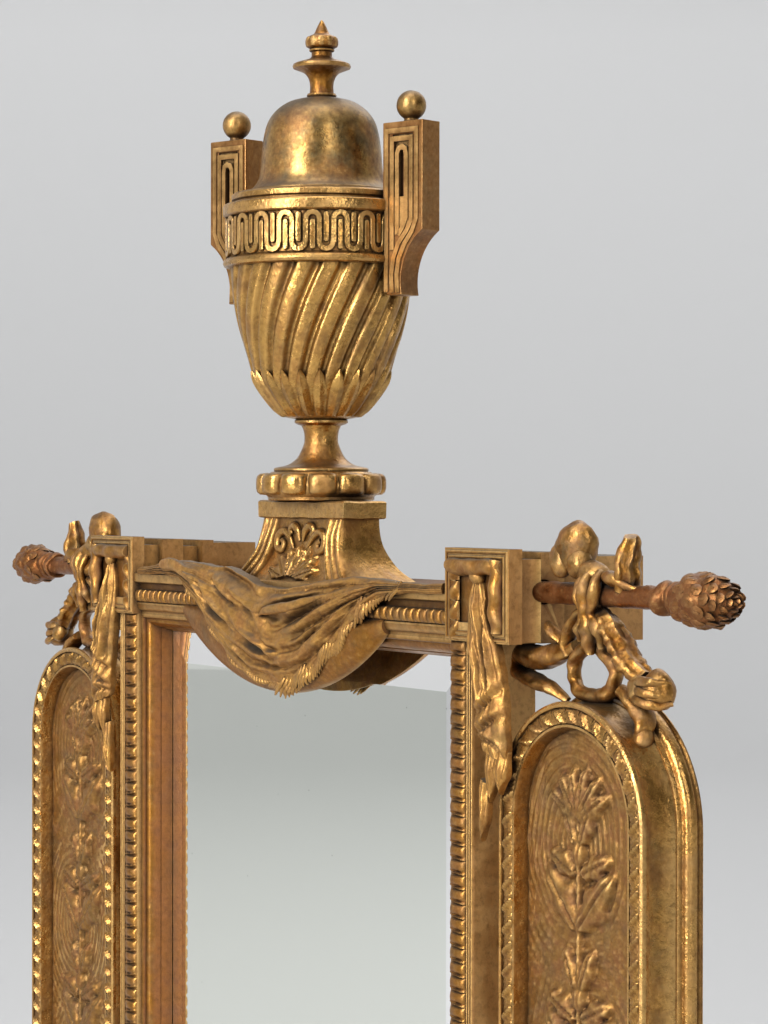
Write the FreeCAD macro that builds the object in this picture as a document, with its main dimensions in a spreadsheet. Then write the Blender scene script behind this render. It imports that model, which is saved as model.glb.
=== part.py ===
import FreeCAD, Part
import math
import os
import Sketcher

# A gilt bronze wall mirror: a bevelled glass in a rectangular frame with stepped corner blocks,
# an urn on a pedestal above it, a swag of drapery, and an arched relief panel on each side.
# Millimetres. +Z is up, +X is to the right of someone facing the mirror, and the glass faces -Y.
# The origin is the centre of the hanging batten's back face, which lies on the wall.

# Every driving size: name, value, what it measures
SIZES = [
    ("frame_width", 220.0, "over the corner blocks"),
    ("frame_height", 280.0, "top of the upper blocks to bottom of the lower blocks"),
    ("frame_depth", 42.0, "wall to the front of the corner blocks"),
    ("ear_width", 27.3, "corner block, across"),
    ("ear_tall", 22.8, "corner block, up"),
    ("plate_thick", 3.9, "front plate of a corner block"),
    ("neck_thick", 6.1, "hollow neck behind the front plate"),
    ("neck_inset", 2.5, "how far the neck is set in"),
    ("block_thick", 7.0, "middle block"),
    ("block_inset", 0.8, "how far the middle block is set in"),
    ("recess_thick", 6.6, "second neck"),
    ("recess_inset", 3.0, "how far the second neck is set in"),
    ("band_thick", 3.8, "moulding before the back block"),
    ("band_inset", 1.2, "how far the moulding is set in"),
    ("foot_inset", 2.0, "how far the back block is set in"),
    ("ear_border", 4.6, "carved border round a block's front field"),
    ("ear_field_deep", 1.0, "sinking of that field"),
    ("moulding_set", 0.5, "rail and stile fronts behind the block fronts"),
    ("rail_drop", 10.6, "rail top below the block tops"),
    ("fascia_tall", 3.0, "plain band along the rail's top"),
    ("fascia_step", 1.4, "step behind that band"),
    ("rail_bead_tall", 4.6, "carved half round of the rail"),
    ("rail_bead_round", 2.9, "radius of that half round"),
    ("stile_width", 10.3, "stile, across"),
    ("bead_width", 7.4, "carved half round of the stile"),
    ("bead_round", 6.6, "radius of that half round"),
    ("bead_set", 1.2, "edges of the half round behind its crown"),
    ("sight_width", 5.2, "sloping moulding round the glass"),
    ("sight_lip", 1.2, "flat front edge of the sloping moulding"),
    ("sight_set", 3.0, "its front behind the block fronts"),
    ("glass_set", 10.1, "glass face behind the block fronts"),
    ("glass_thick", 4.0, "mirror glass"),
    ("bevel_width", 13.7, "bevel round the glass, part of it under the moulding"),
    ("bevel_drop", 1.0, "fall of the bevel"),
    ("edge_gap", 0.5, "room round the glass and the back board"),
    ("board_thick", 6.0, "wooden back board"),
    ("batten_tall", 12.8, "hanging batten, up"),
    ("batten_screw_apart", 100.0, "between the two batten screws"),
    ("dowel_radius", 2.0, "dowels in the frame joints"),
    ("dowel_length", 26.0, "half in each piece"),
    ("dowel_from_front", 13.5, "dowels behind the block fronts"),
    ("fit_gap", 0.06, "round pegs, screws and pins in their holes"),
    ("seat_gap", 0.3, "between pieces that turn and what they turn over"),
    ("screw_radius", 1.5, "shank of a small screw"),
    ("screw_head_radius", 2.9, "head of a small screw"),
    ("screw_head_tall", 1.5, "height of that head"),
    ("screw_bite", 9.0, "length of a small screw inside the frame"),
    ("long_screw_radius", 2.0, "shank of a batten screw"),
    ("long_head_radius", 4.0, "head of a batten screw"),
    ("long_head_tall", 2.5, "height of that head"),
    ("long_head_sunk", 5.0, "sinking of the hole for that head"),
    ("button_reach", 16.0, "turn button, pivot to tip"),
    ("button_half", 4.4, "half the width of a turn button"),
    ("button_thick", 2.5, "turn button plate"),
    ("button_drop", 75.0, "upper turn buttons below the block tops"),
    ("hanger_half", 17.0, "half the length of the hanger plate"),
    ("hanger_deep", 12.0, "hanger plate, front to back"),
    ("hanger_thick", 2.0, "hanger plate"),
    ("hanger_from_wall", 2.0, "hanger plate's back edge to the wall"),
    ("lug_thick", 2.6, "lug of the hanger"),
    ("lug_half", 3.4, "half the depth of a lug"),
    ("lug_drop", 4.6, "hanger plate to the pin"),
    ("pin_radius", 1.5, "hanger pin"),
    ("barrel_half", 5.6, "half the length of the eye's barrel"),
    ("barrel_radius", 3.0, "the eye's barrel"),
    ("eye_thick", 3.0, "plate of the eye"),
    ("eye_radius", 11.0, "outside of the eye"),
    ("eye_hole_radius", 7.0, "hole that goes over the wall hook"),
    ("eye_drop", 15.0, "pin to the centre of that hole"),
    ("lunette_half", 52.8, "half the chord of the tongue below the rail"),
    ("lunette_drop", 18.3, "how far the tongue hangs"),
    ("swag_half", 56.0, "half the width of the swag"),
    ("swag_top_drop", 6.8, "its gathers below the block tops"),
    ("swag_top_sag", 3.6, "sag of its upper edge"),
    ("swag_low_sag", 33.2, "sag of its lower edge"),
    ("swag_gather", 4.4, "height of the cloth at a gather"),
    ("swag_deep", 6.6, "how far it stands out in the middle"),
    ("tail_top_half", 3.6, "half the width of a drape tail at its knot"),
    ("tail_low_half", 6.6, "half the width at its foot"),
    ("tail_drop", 5.0, "its top below the block tops"),
    ("tail_length", 58.0, "top to foot"),
    ("tail_deep", 4.8, "how far it stands out"),
    ("tail_from_edge", 8.0, "its middle in from the block's outer edge"),
    ("ring_outer", 28.3, "outside half width of the arched frame"),
    ("ring_inner", 21.3, "half width of its opening"),
    ("ring_rebate", 2.8, "ledge that holds the relief panel"),
    ("ring_apex_drop", 35.1, "its top below the block tops"),
    ("ring_set", 2.9, "its front behind the block fronts"),
    ("ring_deep", 10.1, "front to back"),
    ("wing_foot_gap", 11.4, "lower corner block to the foot of the back plate"),
    ("wing_plate_lip", 2.7, "back plate outside the arched frame"),
    ("wing_plate_thick", 7.1, "back plate of the arched frame"),
    ("wing_gap", 5.5, "between a stile and the back plate"),
    ("panel_set", 7.3, "relief ground behind the block fronts"),
    ("panel_gap", 0.2, "room round the relief panel"),
    ("strap_tall", 12.0, "strap between stile and back plate, up"),
    ("strap_thick", 2.5, "strap plate"),
    ("strap_drop", 100.0, "upper straps below the block tops"),
    ("strap_reach", 20.0, "strap over the back plate"),
    ("rod_radius", 3.0, "rod that carries the bow"),
    ("rod_drop", 10.4, "rod below the block tops"),
    ("rod_set", 10.9, "rod behind the block fronts"),
    ("rod_sink", 16.0, "rod inside the corner block"),
    ("rod_reach", 39.6, "corner block to the pine cone"),
    ("cone_socket", 8.0, "rod inside the pine cone"),
    ("cone_length", 35.0, "collar and cone"),
    ("cone_collar_radius", 4.4, "collar at the foot of the cone"),
    ("cone_radius", 7.6, "the cone at its thickest"),
    ("cone_tip_radius", 1.0, "blunt tip of the cone"),
    ("cone_round", 16.0, "arc of the cone's side"),
    ("bow_deep", 9.0, "width of the ribbon"),
    ("bow_thick", 2.4, "wall of a ribbon loop"),
    ("bow_knot_radius", 5.6, "knot round the rod"),
    ("bow_knot_half", 4.8, "half the length of the knot along the rod"),
    ("bow_upper_length", 19.0, "upper loops, knot to tip"),
    ("bow_upper_half", 6.0, "half the width of an upper loop"),
    ("bow_lower_length", 24.6, "lower loops, knot to tip"),
    ("bow_lower_half", 5.4, "half the width of a lower loop"),
    ("urn_set", 14.8, "urn axis behind the block fronts"),
    ("urn_turn", 16.0, "degrees that the urn is turned towards +X"),
    ("slab_half_width", 22.5, "half the pedestal's top slab, across"),
    ("slab_half_depth", 6.8, "half the slab, front to back"),
    ("slab_tall", 5.0, "slab, up"),
    ("waist_inset", 2.0, "pedestal below the slab, set in"),
    ("pedestal_tall", 21.7, "rail to the top of the slab"),
    ("pedestal_foot_half", 31.0, "half the pedestal's foot, across"),
    ("pedestal_foot_depth", 10.6, "half the pedestal's foot, front to back"),
    ("pedestal_foot_tall", 1.6, "straight edge of the foot"),
    ("pedestal_cove", 17.0, "hollow of the pedestal's front"),
    ("tie_radius", 2.0, "rod through the urn"),
    ("tie_room", 0.3, "room round that rod"),
    ("nut_radius", 4.2, "nut over its corners"),
    ("nut_tall", 3.4, "nut, up"),
    ("nut_sunk", 6.0, "sinking for the nut under the rail"),
    ("flange_radius", 14.6, "flange under the lobed ring"),
    ("flange_tall", 1.2, "flange, up"),
    ("lobe_radius", 17.9, "lobed ring"),
    ("lobe_tall", 6.7, "lobed ring, up"),
    ("lobe_round", 3.6, "arc of its edge"),
    ("foot_disc_radius", 13.0, "foot disc of the urn"),
    ("foot_disc_tall", 0.8, "that disc, up"),
    ("foot_tall", 14.4, "urn foot, up"),
    ("stem_radius", 4.6, "stem at its thinnest"),
    ("stem_height", 8.4, "stem's thinnest place over the foot"),
    ("foot_cove", 9.0, "hollow of the foot"),
    ("stem_ring_radius", 7.4, "ring under the bowl"),
    ("stem_ring_tall", 1.4, "that ring, up"),
    ("bowl_tall", 41.2, "bowl, up"),
    ("bowl_low_radius", 18.0, "bowl where its side begins"),
    ("bowl_low_tall", 10.6, "height of that place"),
    ("bowl_low_round", 22.0, "arc of the bowl's bottom"),
    ("bowl_radius", 24.8, "bowl at its top"),
    ("bowl_round", 100.0, "arc of the bowl's side"),
    ("shell", 3.0, "wall of the hollow castings"),
    ("band_radius", 27.0, "frieze band of the urn"),
    ("band_tall", 17.3, "frieze band, up"),
    ("rim_radius", 24.5, "rim on the band"),
    ("rim_tall", 3.3, "rim, up"),
    ("lid_radius", 19.9, "foot of the lid"),
    ("lid_tall", 26.3, "lid, up"),
    ("lid_flare_tall", 6.3, "hollow flare at the lid's foot"),
    ("lid_cove", 8.0, "arc of that flare"),
    ("dome_radius", 16.6, "dome over the flare"),
    ("dome_side_tall", 9.8, "where the dome starts to close"),
    ("dome_round", 15.8, "arc of the dome"),
    ("lid_neck_radius", 3.7, "lid's top"),
    ("finial_tall", 21.3, "finial"),
    ("finial_stem_radius", 3.3, "finial's stem"),
    ("finial_disc_radius", 8.0, "disc of the finial"),
    ("finial_bud_radius", 4.9, "bud of the finial"),
    ("tie_in_finial", 8.0, "rod inside the finial"),
    ("handle_inner", 25.5, "urn axis to the inside of a handle"),
    ("handle_width", 13.8, "handle, across"),
    ("handle_half", 3.6, "half its thickness"),
    ("handle_tall", 29.0, "upright bar of a handle"),
    ("handle_lift", 8.4, "foot of that bar over the band's underside"),
    ("scroll_drop", 17.0, "scroll below that bar"),
    ("scroll_width", 6.6, "width of the scroll"),
    ("scroll_round", 16.0, "arc of the scroll"),
    ("slot_border", 3.4, "border of the sunk panel in a handle"),
    ("slot_deep", 1.2, "sinking of that panel"),
    ("ball_radius", 4.0, "ball on a handle"),
    ("ball_neck_radius", 1.8, "neck under the ball"),
    ("ball_neck_tall", 0.5, "that neck, up"),
]

# Shares of the finial's height and radii at its turnings, from its foot up
FINIAL_STEM_SHARE = 0.20
FINIAL_DISC_LOW_SHARE = 0.31
FINIAL_DISC_TOP_SHARE = 0.43
FINIAL_NECK_SHARE = 0.55
FINIAL_BUD_SHARE = 0.72
FINIAL_TIP_SHARE = 0.84

# Shares of the pine cone's length at its turnings, from the collar out
CONE_COLLAR_SHARE = 0.20
CONE_THICK_SHARE = 0.56

# Shares of the swag's half width where its sections lie, and of a tail's length
SWAG_PLACE_SHARES = (-1.0, -0.8, -0.5, -0.2, 0.12, 0.45, 0.78, 1.0)
SWAG_FOLD_SHARES = (0.0, 0.16, 0.36, 0.60, 0.82, 1.0)
TAIL_PLACE_SHARES = (0.0, 0.14, 0.45, 0.8, 1.0)
TAIL_FOLD_SHARES = (-1.0, -0.3, 0.35, 1.0)

# Share of the wing's back plate that its screws go into
WING_BITE_SHARE = 0.7

# Shares of a fold's width that it rises, and of a cloth's depth that lies under its folds
FOLD_RISE_SHARE = 0.4
SWAG_BODY_SHARE = 0.65
TAIL_BODY_SHARE = 0.5

doc = FreeCAD.newDocument("wall_mirror")
sheet = doc.addObject("Spreadsheet::Sheet", "Sizes")
for row, (alias, number, note) in enumerate(SIZES, start=1):
    sheet.set(f"A{row}", alias)
    sheet.set(f"B{row}", str(number))
    sheet.set(f"C{row}", note)
    sheet.setAlias(f"B{row}", alias)
doc.recompute()


class Size:
    """A length that holds its number and the sheet formula that it comes from."""

    def __init__(self, value, formula):
        self.value = value
        self.formula = formula

    def joined(self, other, sign, value):
        return Size(value, f"({self.formula} {sign} {other.formula})")

    def __add__(self, other):
        other = as_size(other)
        return self.joined(other, "+", self.value + other.value)

    def __sub__(self, other):
        other = as_size(other)
        return self.joined(other, "-", self.value - other.value)

    def __mul__(self, other):
        other = as_size(other)
        return self.joined(other, "*", self.value * other.value)

    def __truediv__(self, other):
        other = as_size(other)
        return self.joined(other, "/", self.value / other.value)

    def __neg__(self):
        return Size(-self.value, f"(-{self.formula})")

    def __rmul__(self, other):
        return as_size(other) * self

    def __radd__(self, other):
        return as_size(other) + self

    def __rsub__(self, other):
        return as_size(other) - self


def as_size(item):
    """A plain number as a Size; a Size as it is."""
    if isinstance(item, Size):
        return item
    return Size(float(item), f"({float(item)!r})")


class Sizes:
    """The sheet's named values, as attributes."""

    def __getattr__(self, alias):
        return Size(float(sheet.get(alias)), f"Sizes.{alias}")


s = Sizes()
ZERO = as_size(0)
nodes = {}

# Places that several pieces share
ear_top = s.rail_drop + s.batten_tall / 2
half_width = s.frame_width / 2
rail_half = half_width - s.ear_width
stile_mid = rail_half + s.stile_width / 2
stile_outer = rail_half + s.stile_width
front_y = -s.frame_depth
back_y = front_y + s.glass_set + s.glass_thick + s.board_thick
ear_low = ear_top - s.ear_tall
rail_top = ear_top - s.rail_drop
plate_half = s.ring_outer + s.wing_plate_lip
wing_x = stile_outer + s.wing_gap + plate_half
wing_spring = ear_top - s.ring_apex_drop - s.ring_outer
urn_y = front_y + s.urn_set
slab_top = rail_top + s.pedestal_tall


def lower(z):
    """The height in the frame's lower half that mirrors one in its upper half."""
    return 2 * ear_top - s.frame_height - z


frame_low = lower(ear_low)
wing_low = frame_low + s.wing_foot_gap + s.wing_plate_lip


def span(low, high, sign):
    """A stretch along X, or its mirror image on the left."""
    return (low, high) if sign > 0 else (-high, -low)


def rise(low, high, upper):
    """A stretch along Z in the frame's upper half, or its mirror image in the lower half."""
    return (low, high) if upper else (lower(high), lower(low))


# Ways to draw and join


def bind(thing, path, size):
    """Ties a property to its sheet formula."""
    thing.setExpression(path, as_size(size).formula)


def place(thing, x, y, z, rotation=None):
    """Puts an object at a bound place, turned by a fixed rotation."""
    if rotation is not None:
        thing.Placement = FreeCAD.Placement(FreeCAD.Vector(), rotation)
    for axis, size in zip("xyz", (x, y, z)):
        bind(thing, f"Placement.Base.{axis}", size)
    return thing


def arc_middle(start, end, radius):
    """Middle of the minor arc between two points, to the right of the way for a radius above zero."""
    chord = end - start
    half = chord.Length / 2
    sag = abs(radius) - math.sqrt(radius * radius - half * half)
    right = FreeCAD.Vector(chord.y, -chord.x, 0).normalize()
    return (start + end) * 0.5 + right * math.copysign(sag, radius)


def fix_point(sketch, piece, end, x, y):
    """Holds one end of a sketch line at a bound place."""
    for kind, size, axis in (("DistanceX", x, -2), ("DistanceY", y, -1)):
        size = as_size(size)
        if size.value == 0 and size.formula == ZERO.formula:
            sketch.addConstraint(Sketcher.Constraint("PointOnObject", piece, end, axis))
        else:
            index = sketch.addConstraint(Sketcher.Constraint(kind, piece, end, size.value))
            bind(sketch, f"Constraints[{index}]", size)


def trace(sketch, outline):
    """Draws a closed outline of (x, y), or (x, y, radius) where an arc leads to the point."""
    points = [FreeCAD.Vector(as_size(p[0]).value, as_size(p[1]).value, 0) for p in outline]
    pieces = []
    for number, start in enumerate(points):
        following = (number + 1) % len(points)
        end = points[following]
        target = outline[following]
        if len(target) == 2:
            pieces.append((sketch.addGeometry(Part.LineSegment(start, end)), 1, 2))
            continue
        middle = arc_middle(start, end, target[2].value)
        turns_left = (middle - start).cross(end - middle).z > 0
        ends = (1, 2) if turns_left else (2, 1)
        piece = sketch.addGeometry(Part.Arc(start, middle, end))
        radius = -target[2] if target[2].value < 0 else target[2]
        index = sketch.addConstraint(Sketcher.Constraint("Radius", piece, radius.value))
        bind(sketch, f"Constraints[{index}]", radius)
        pieces.append((piece,) + ends)
    for number, (piece, start_end, far_end) in enumerate(pieces):
        following, following_start, _ = pieces[(number + 1) % len(pieces)]
        sketch.addConstraint(Sketcher.Constraint("Coincident", piece, far_end, following, following_start))
        fix_point(sketch, piece, start_end, outline[number][0], outline[number][1])


def trace_circle(sketch, x, y, radius):
    """Draws a bound circle."""
    circle = Part.Circle(FreeCAD.Vector(as_size(x).value, as_size(y).value, 0), FreeCAD.Vector(0, 0, 1),
                         radius.value)
    piece = sketch.addGeometry(circle)
    index = sketch.addConstraint(Sketcher.Constraint("Radius", piece, radius.value))
    bind(sketch, f"Constraints[{index}]", radius)
    fix_point(sketch, piece, 3, x, y)


def new_sketch(body, plane, offset=ZERO):
    """A sketch on one of the body's own planes, moved along the plane's normal."""
    sketch = body.newObject("Sketcher::SketchObject", f"{body.Name}_sketch")
    support = next(feature for feature in body.Origin.OriginFeatures if feature.Role == plane)
    sketch.AttachmentSupport = [(support, "")]
    sketch.MapMode = "FlatFace"
    bind(sketch, "AttachmentOffset.Base.z", offset)
    return sketch


def padded(name, plane, offset, length, outlines, holes=()):
    """A body padded from outlines on a plane; holes are (x, y, radius)."""
    body = doc.addObject("PartDesign::Body", name)
    sketch = new_sketch(body, plane, offset)
    for outline in outlines:
        trace(sketch, outline)
    for hole in holes:
        trace_circle(sketch, *hole)
    pad = body.newObject("PartDesign::Pad", f"{name}_pad")
    pad.Profile = sketch
    bind(pad, "Length", length)
    sketch.Visibility = False
    return body


def front_plate(name, y_low, y_high, outlines, holes=()):
    """A plate seen from the front, its outlines in X and Z."""
    return padded(name, "XZ_Plane", -y_high, y_high - y_low, outlines, holes)


def turned(name, outline):
    """A body turned about Z from an outline in radius and height."""
    body = doc.addObject("PartDesign::Body", name)
    sketch = new_sketch(body, "XZ_Plane")
    trace(sketch, outline)
    revolution = body.newObject("PartDesign::Revolution", f"{name}_turning")
    revolution.Profile = sketch
    revolution.ReferenceAxis = (sketch, ["V_Axis"])
    revolution.Angle = 360
    sketch.Visibility = False
    return body


def box(name, xs, ys, zs):
    """A block between bound limits."""
    block = doc.addObject("Part::Box", name)
    for side, (low, high) in zip(("Length", "Width", "Height"), (xs, ys, zs)):
        bind(block, side, as_size(high) - low)
    return place(block, xs[0], ys[0], zs[0])


def peg(name, radius, length, x, y, z, rotation=None):
    """A round peg whose foot is at a bound place and which rises along Z before it is turned."""
    cylinder = doc.addObject("Part::Cylinder", name)
    bind(cylinder, "Radius", radius)
    bind(cylinder, "Height", length)
    return place(cylinder, x, y, z, rotation)


def fuse(name, pieces):
    """Several solids as one."""
    union = doc.addObject("Part::MultiFuse", name)
    union.Shapes = pieces
    union.Refine = True
    return union


def cut(name, base, tools):
    """A solid with others taken out of it."""
    group = tools[0]
    if len(tools) > 1:
        group = doc.addObject("Part::Compound", f"{name}_tools")
        group.Links = tools
    result = doc.addObject("Part::Cut", name)
    result.Base = base
    result.Tool = group
    result.Refine = True
    return result


def together(name, pieces):
    """Like solids that share one node."""
    group = doc.addObject("Part::Compound", name)
    group.Links = pieces
    return group


def node(label, thing, solids=1):
    """Names a finished sub-part."""
    thing.Label = label
    nodes[label] = (thing, solids)
    return thing


ALONG_X = FreeCAD.Rotation(FreeCAD.Vector(0, 1, 0), 90)
AGAINST_X = FreeCAD.Rotation(FreeCAD.Vector(0, 1, 0), -90)
ALONG_Y = FreeCAD.Rotation(FreeCAD.Vector(1, 0, 0), -90)
AGAINST_Y = FreeCAD.Rotation(FreeCAD.Vector(1, 0, 0), 90)
AGAINST_Z = FreeCAD.Rotation(FreeCAD.Vector(1, 0, 0), 180)
SIDES = (("left", -1), ("right", 1))
LEVELS = (("top", True), ("bottom", False))


# Dowels that hold the corner blocks to the stiles and to the rails

dowel_y = front_y + s.dowel_from_front
hole_radius = s.dowel_radius + s.fit_gap


def dowel_pegs(name, radius, side, upper):
    """The upright and the level dowel, or their holes, at one corner."""
    sign = 1 if side == "right" else -1
    low, _ = rise(ear_low - s.dowel_length / 2, ear_low + s.dowel_length / 2, upper)
    rail_z = ear_low + (rail_top - ear_low) / 2
    start, _ = span(rail_half - s.dowel_length / 2, rail_half + s.dowel_length / 2, sign)
    return [
        peg(f"{name}_up", radius, s.dowel_length, sign * stile_mid, dowel_y, low),
        peg(f"{name}_level", radius, s.dowel_length, start, dowel_y, rail_z if upper else lower(rail_z), ALONG_X),
    ]


dowels = []
for level, upper in LEVELS:
    for side, _ in SIDES:
        dowels += dowel_pegs(f"dowel_{level}_{side}", s.dowel_radius, side, upper)
node("frame_dowels", together("frame_dowels", dowels), len(dowels))


# Corner blocks: a front plate with a sunk field, then steps back to the wall

rod_y = front_y + s.rod_set
rod_z = ear_top - s.rod_drop


def corner_block(level, side, upper, sign):
    """One stepped corner block. Its rail side and its stile side stay flush, so the joints close."""
    name = f"corner_block_{level}_{side}"
    steps = (
        ("plate", s.plate_thick, ZERO, ZERO),
        ("neck", s.neck_thick, s.neck_inset, s.neck_inset),
        ("block", s.block_thick, ZERO, s.block_inset),
        ("recess", s.recess_thick, s.recess_inset, s.recess_inset),
        ("band", s.band_thick, ZERO, s.band_inset),
    )
    blocks = []
    y = front_y
    for step, thick, inner, outer in steps:
        xs = span(rail_half + inner, half_width - outer, sign)
        zs = rise(ear_low, ear_top - outer, upper)
        blocks.append(box(f"{name}_{step}", xs, (y, y + thick), zs))
        y = y + thick
    xs = span(rail_half, half_width - s.foot_inset, sign)
    zs = rise(ear_low, ear_top - s.foot_inset, upper)
    blocks.append(box(f"{name}_foot", xs, (y, ZERO), zs))
    field = box(
        f"{name}_field",
        span(rail_half + s.ear_border, half_width - s.ear_border, sign),
        (front_y, front_y + s.ear_field_deep),
        rise(ear_low + s.ear_border, ear_top - s.ear_border, upper),
    )
    holes = [field] + dowel_pegs(f"{name}_hole", hole_radius, side, upper)
    if upper:
        start, _ = span(half_width - s.rod_sink, half_width, sign)
        holes.append(peg(f"{name}_rod_hole", s.rod_radius + s.fit_gap, s.rod_sink, start, rod_y, rod_z, ALONG_X))
    return cut(name, fuse(f"{name}_steps", blocks), holes)


for level, upper in LEVELS:
    for side, sign in SIDES:
        node(f"corner_block_{level}_{side}", corner_block(level, side, upper, sign))


# Rails: a plain band, a carved half round and a flat, on a straight back

moulding_y = front_y + s.moulding_set


def rail_outline(upper):
    """Section of a rail in Y and Z."""
    step_y = moulding_y + s.fascia_step
    bead_top = rail_top - s.fascia_tall - s.fascia_step / 2
    bead_low = bead_top - s.rail_bead_tall
    heights = [rail_top, rail_top - s.fascia_tall, rail_top - s.fascia_tall, bead_top, bead_low, ear_low, ear_low,
               rail_top]
    depths = [moulding_y, moulding_y, step_y, step_y, step_y, step_y, back_y, back_y]
    points = [[y, z if upper else lower(z)] for y, z in zip(depths, heights)]
    points[4].append(s.rail_bead_round if upper else -s.rail_bead_round)
    return points


def tie_hole(name, radius, z_low, z_high):
    """Room for the rod of the urn."""
    return peg(name, radius, z_high - z_low, ZERO, urn_y, z_low)


batten_screw_x = s.batten_screw_apart / 2


def batten_screws(name, radius, head_radius, head_start):
    """The two batten screws, or the room for them, from a head near the wall to the bite in the rail."""
    pieces = []
    for side, sign in SIDES:
        x = sign * batten_screw_x
        shank = peg(f"{name}_{side}_shank", radius, -s.long_head_sunk - (back_y - s.screw_bite), x,
                    back_y - s.screw_bite, ZERO, ALONG_Y)
        head = peg(f"{name}_{side}_head", head_radius, head_start, x, -s.long_head_sunk, ZERO, ALONG_Y)
        pieces.append(fuse(f"{name}_{side}", [shank, head]))
    return pieces


for level, upper in LEVELS:
    name = f"{level}_rail"
    bar = padded(f"{name}_bar", "YZ_Plane", -rail_half, 2 * rail_half, [rail_outline(upper)])
    holes = []
    for side, _ in SIDES:
        holes.append(dowel_pegs(f"{name}_{side}_hole", hole_radius, side, upper)[1])
    if upper:
        holes.append(tie_hole("rail_tie_hole", s.tie_radius + s.tie_room, ear_low, rail_top))
        holes.append(tie_hole("rail_nut_hole", s.nut_radius + s.tie_room, ear_low, ear_low + s.nut_sunk))
        holes += batten_screws("rail_screw_hole", s.long_screw_radius + s.fit_gap,
                               s.long_head_radius + s.fit_gap, s.long_head_sunk)
    node(name, cut(name, bar, holes))


# Stiles: a carved half round and a flat, on a straight back

def turn_button_place(side, upper):
    """Pivot of a turn button: its X and its Z."""
    z = ear_top - s.button_drop
    sign = 1 if side == "right" else -1
    return sign * stile_mid, z if upper else lower(z)


def strap_height(upper):
    """Middle of a wing strap."""
    z = ear_top - s.strap_drop
    return z if upper else lower(z)


strap_plate_x = wing_x - plate_half + s.strap_reach / 2


def screw_shank(name, x, y, z, length, clearance=ZERO, rotation=AGAINST_Y):
    """Shank of a small screw, or the hole for it, from the outer face of what it holds."""
    return peg(f"{name}_shank", s.screw_radius + clearance, length, x, y, z, rotation)


def headed_screw(name, x, y, z, length):
    """A small screw along Y with its head on the outer face of what it holds."""
    shank = screw_shank(name, x, y, z, length)
    head = peg(f"{name}_head", s.screw_head_radius, s.screw_head_tall, x, y, z, ALONG_Y)
    return fuse(name, [shank, head])


def stile(side, sign):
    """One upright of the frame."""
    x = [rail_half, rail_half + s.bead_width, rail_half + s.bead_width, stile_outer, stile_outer, rail_half]
    crown_y = moulding_y + s.bead_set
    fillet_y = crown_y + s.bead_set
    y = [crown_y, crown_y, fillet_y, fillet_y, back_y, back_y]
    points = [[sign * px, py] for px, py in zip(x, y)]
    points[1].append(s.bead_round if sign > 0 else -s.bead_round)
    bar = padded(f"{side}_stile_bar", "XY_Plane", frame_low, ear_low - frame_low, [points])
    holes = []
    for level, upper in LEVELS:
        holes.append(dowel_pegs(f"{side}_stile_{level}_hole", hole_radius, side, upper)[0])
        x_button, z_button = turn_button_place(side, upper)
        holes.append(screw_shank(f"{side}_stile_{level}_button_hole", x_button, back_y, z_button, s.screw_bite,
                                 s.fit_gap))
        holes.append(screw_shank(f"{side}_stile_{level}_strap_hole", sign * stile_mid, back_y, strap_height(upper),
                                 s.screw_bite, s.fit_gap))
    return cut(f"{side}_stile", bar, holes)


for side, sign in SIDES:
    node(f"{side}_stile", stile(side, sign))


# Sloping moulding round the glass, the bevelled glass and the board behind it

sight_y = front_y + s.sight_set
glass_y = front_y + s.glass_set
sight_back = glass_y + s.bevel_drop / 2


def frustum(name, y_near, y_far, near_inset, far_inset):
    """A block that narrows along Y, set in from the frame's opening."""
    wedge = doc.addObject("Part::Wedge", name)
    values = {
        "Xmin": near_inset - rail_half, "Xmax": rail_half - near_inset,
        "Zmin": frame_low + near_inset, "Zmax": ear_low - near_inset,
        "X2min": far_inset - rail_half, "X2max": rail_half - far_inset,
        "Z2min": frame_low + far_inset, "Z2max": ear_low - far_inset,
        "Ymin": y_near, "Ymax": y_far,
    }
    for path, size in values.items():
        bind(wedge, path, size)
    return wedge


sight_block = box("sight_block", (-rail_half, rail_half), (sight_y, sight_back), (frame_low, ear_low))
sight_slope = frustum("sight_slope", sight_y, sight_back, s.sight_lip, s.sight_width)
node("sight_moulding", cut("sight_moulding", sight_block, [sight_slope]))

glass_half = rail_half - s.edge_gap
glass_rise = (frame_low + s.edge_gap, ear_low - s.edge_gap)
glass_back = glass_y + s.glass_thick
bevel_y = glass_y + s.bevel_drop
glass_sheet = box("glass_sheet", (-glass_half, glass_half), (bevel_y, glass_back), glass_rise)
glass_bevel = frustum("glass_bevel", glass_y, bevel_y, s.edge_gap + s.bevel_width, s.edge_gap)
node("mirror_glass", fuse("mirror_glass", [glass_sheet, glass_bevel]))
node("back_board", box("back_board", (-glass_half, glass_half), (glass_back, back_y), glass_rise))


# Turn buttons that hold the board, with their pivot screws

button_y = back_y + s.seat_gap
button_screws = []
for level, upper in LEVELS:
    for side, sign in SIDES:
        name = f"turn_button_{level}_{side}"
        pivot_x, pivot_z = turn_button_place(side, upper)
        half = s.button_half
        tip = s.button_reach - half
        bulge = half if sign < 0 else -half
        tip_x = pivot_x - sign * tip
        outline = [
            (pivot_x, pivot_z + half), (pivot_x + sign * half, pivot_z, bulge), (pivot_x, pivot_z - half, bulge),
            (tip_x, pivot_z - half), (tip_x - sign * half, pivot_z, bulge), (tip_x, pivot_z + half, bulge),
        ]
        plate = front_plate(name, button_y, button_y + s.button_thick, [outline],
                            [(pivot_x, pivot_z, s.screw_radius + s.fit_gap)])
        node(name, plate)
        head_y = button_y + s.button_thick + s.fit_gap
        screw_length = head_y - back_y + s.screw_bite
        button_screws.append(headed_screw(f"{name}_screw", pivot_x, head_y, pivot_z, screw_length))
node("turn_button_screws", together("turn_button_screws", button_screws), len(button_screws))


# Hanging batten behind the top rail, and the hinged eye under it

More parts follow.
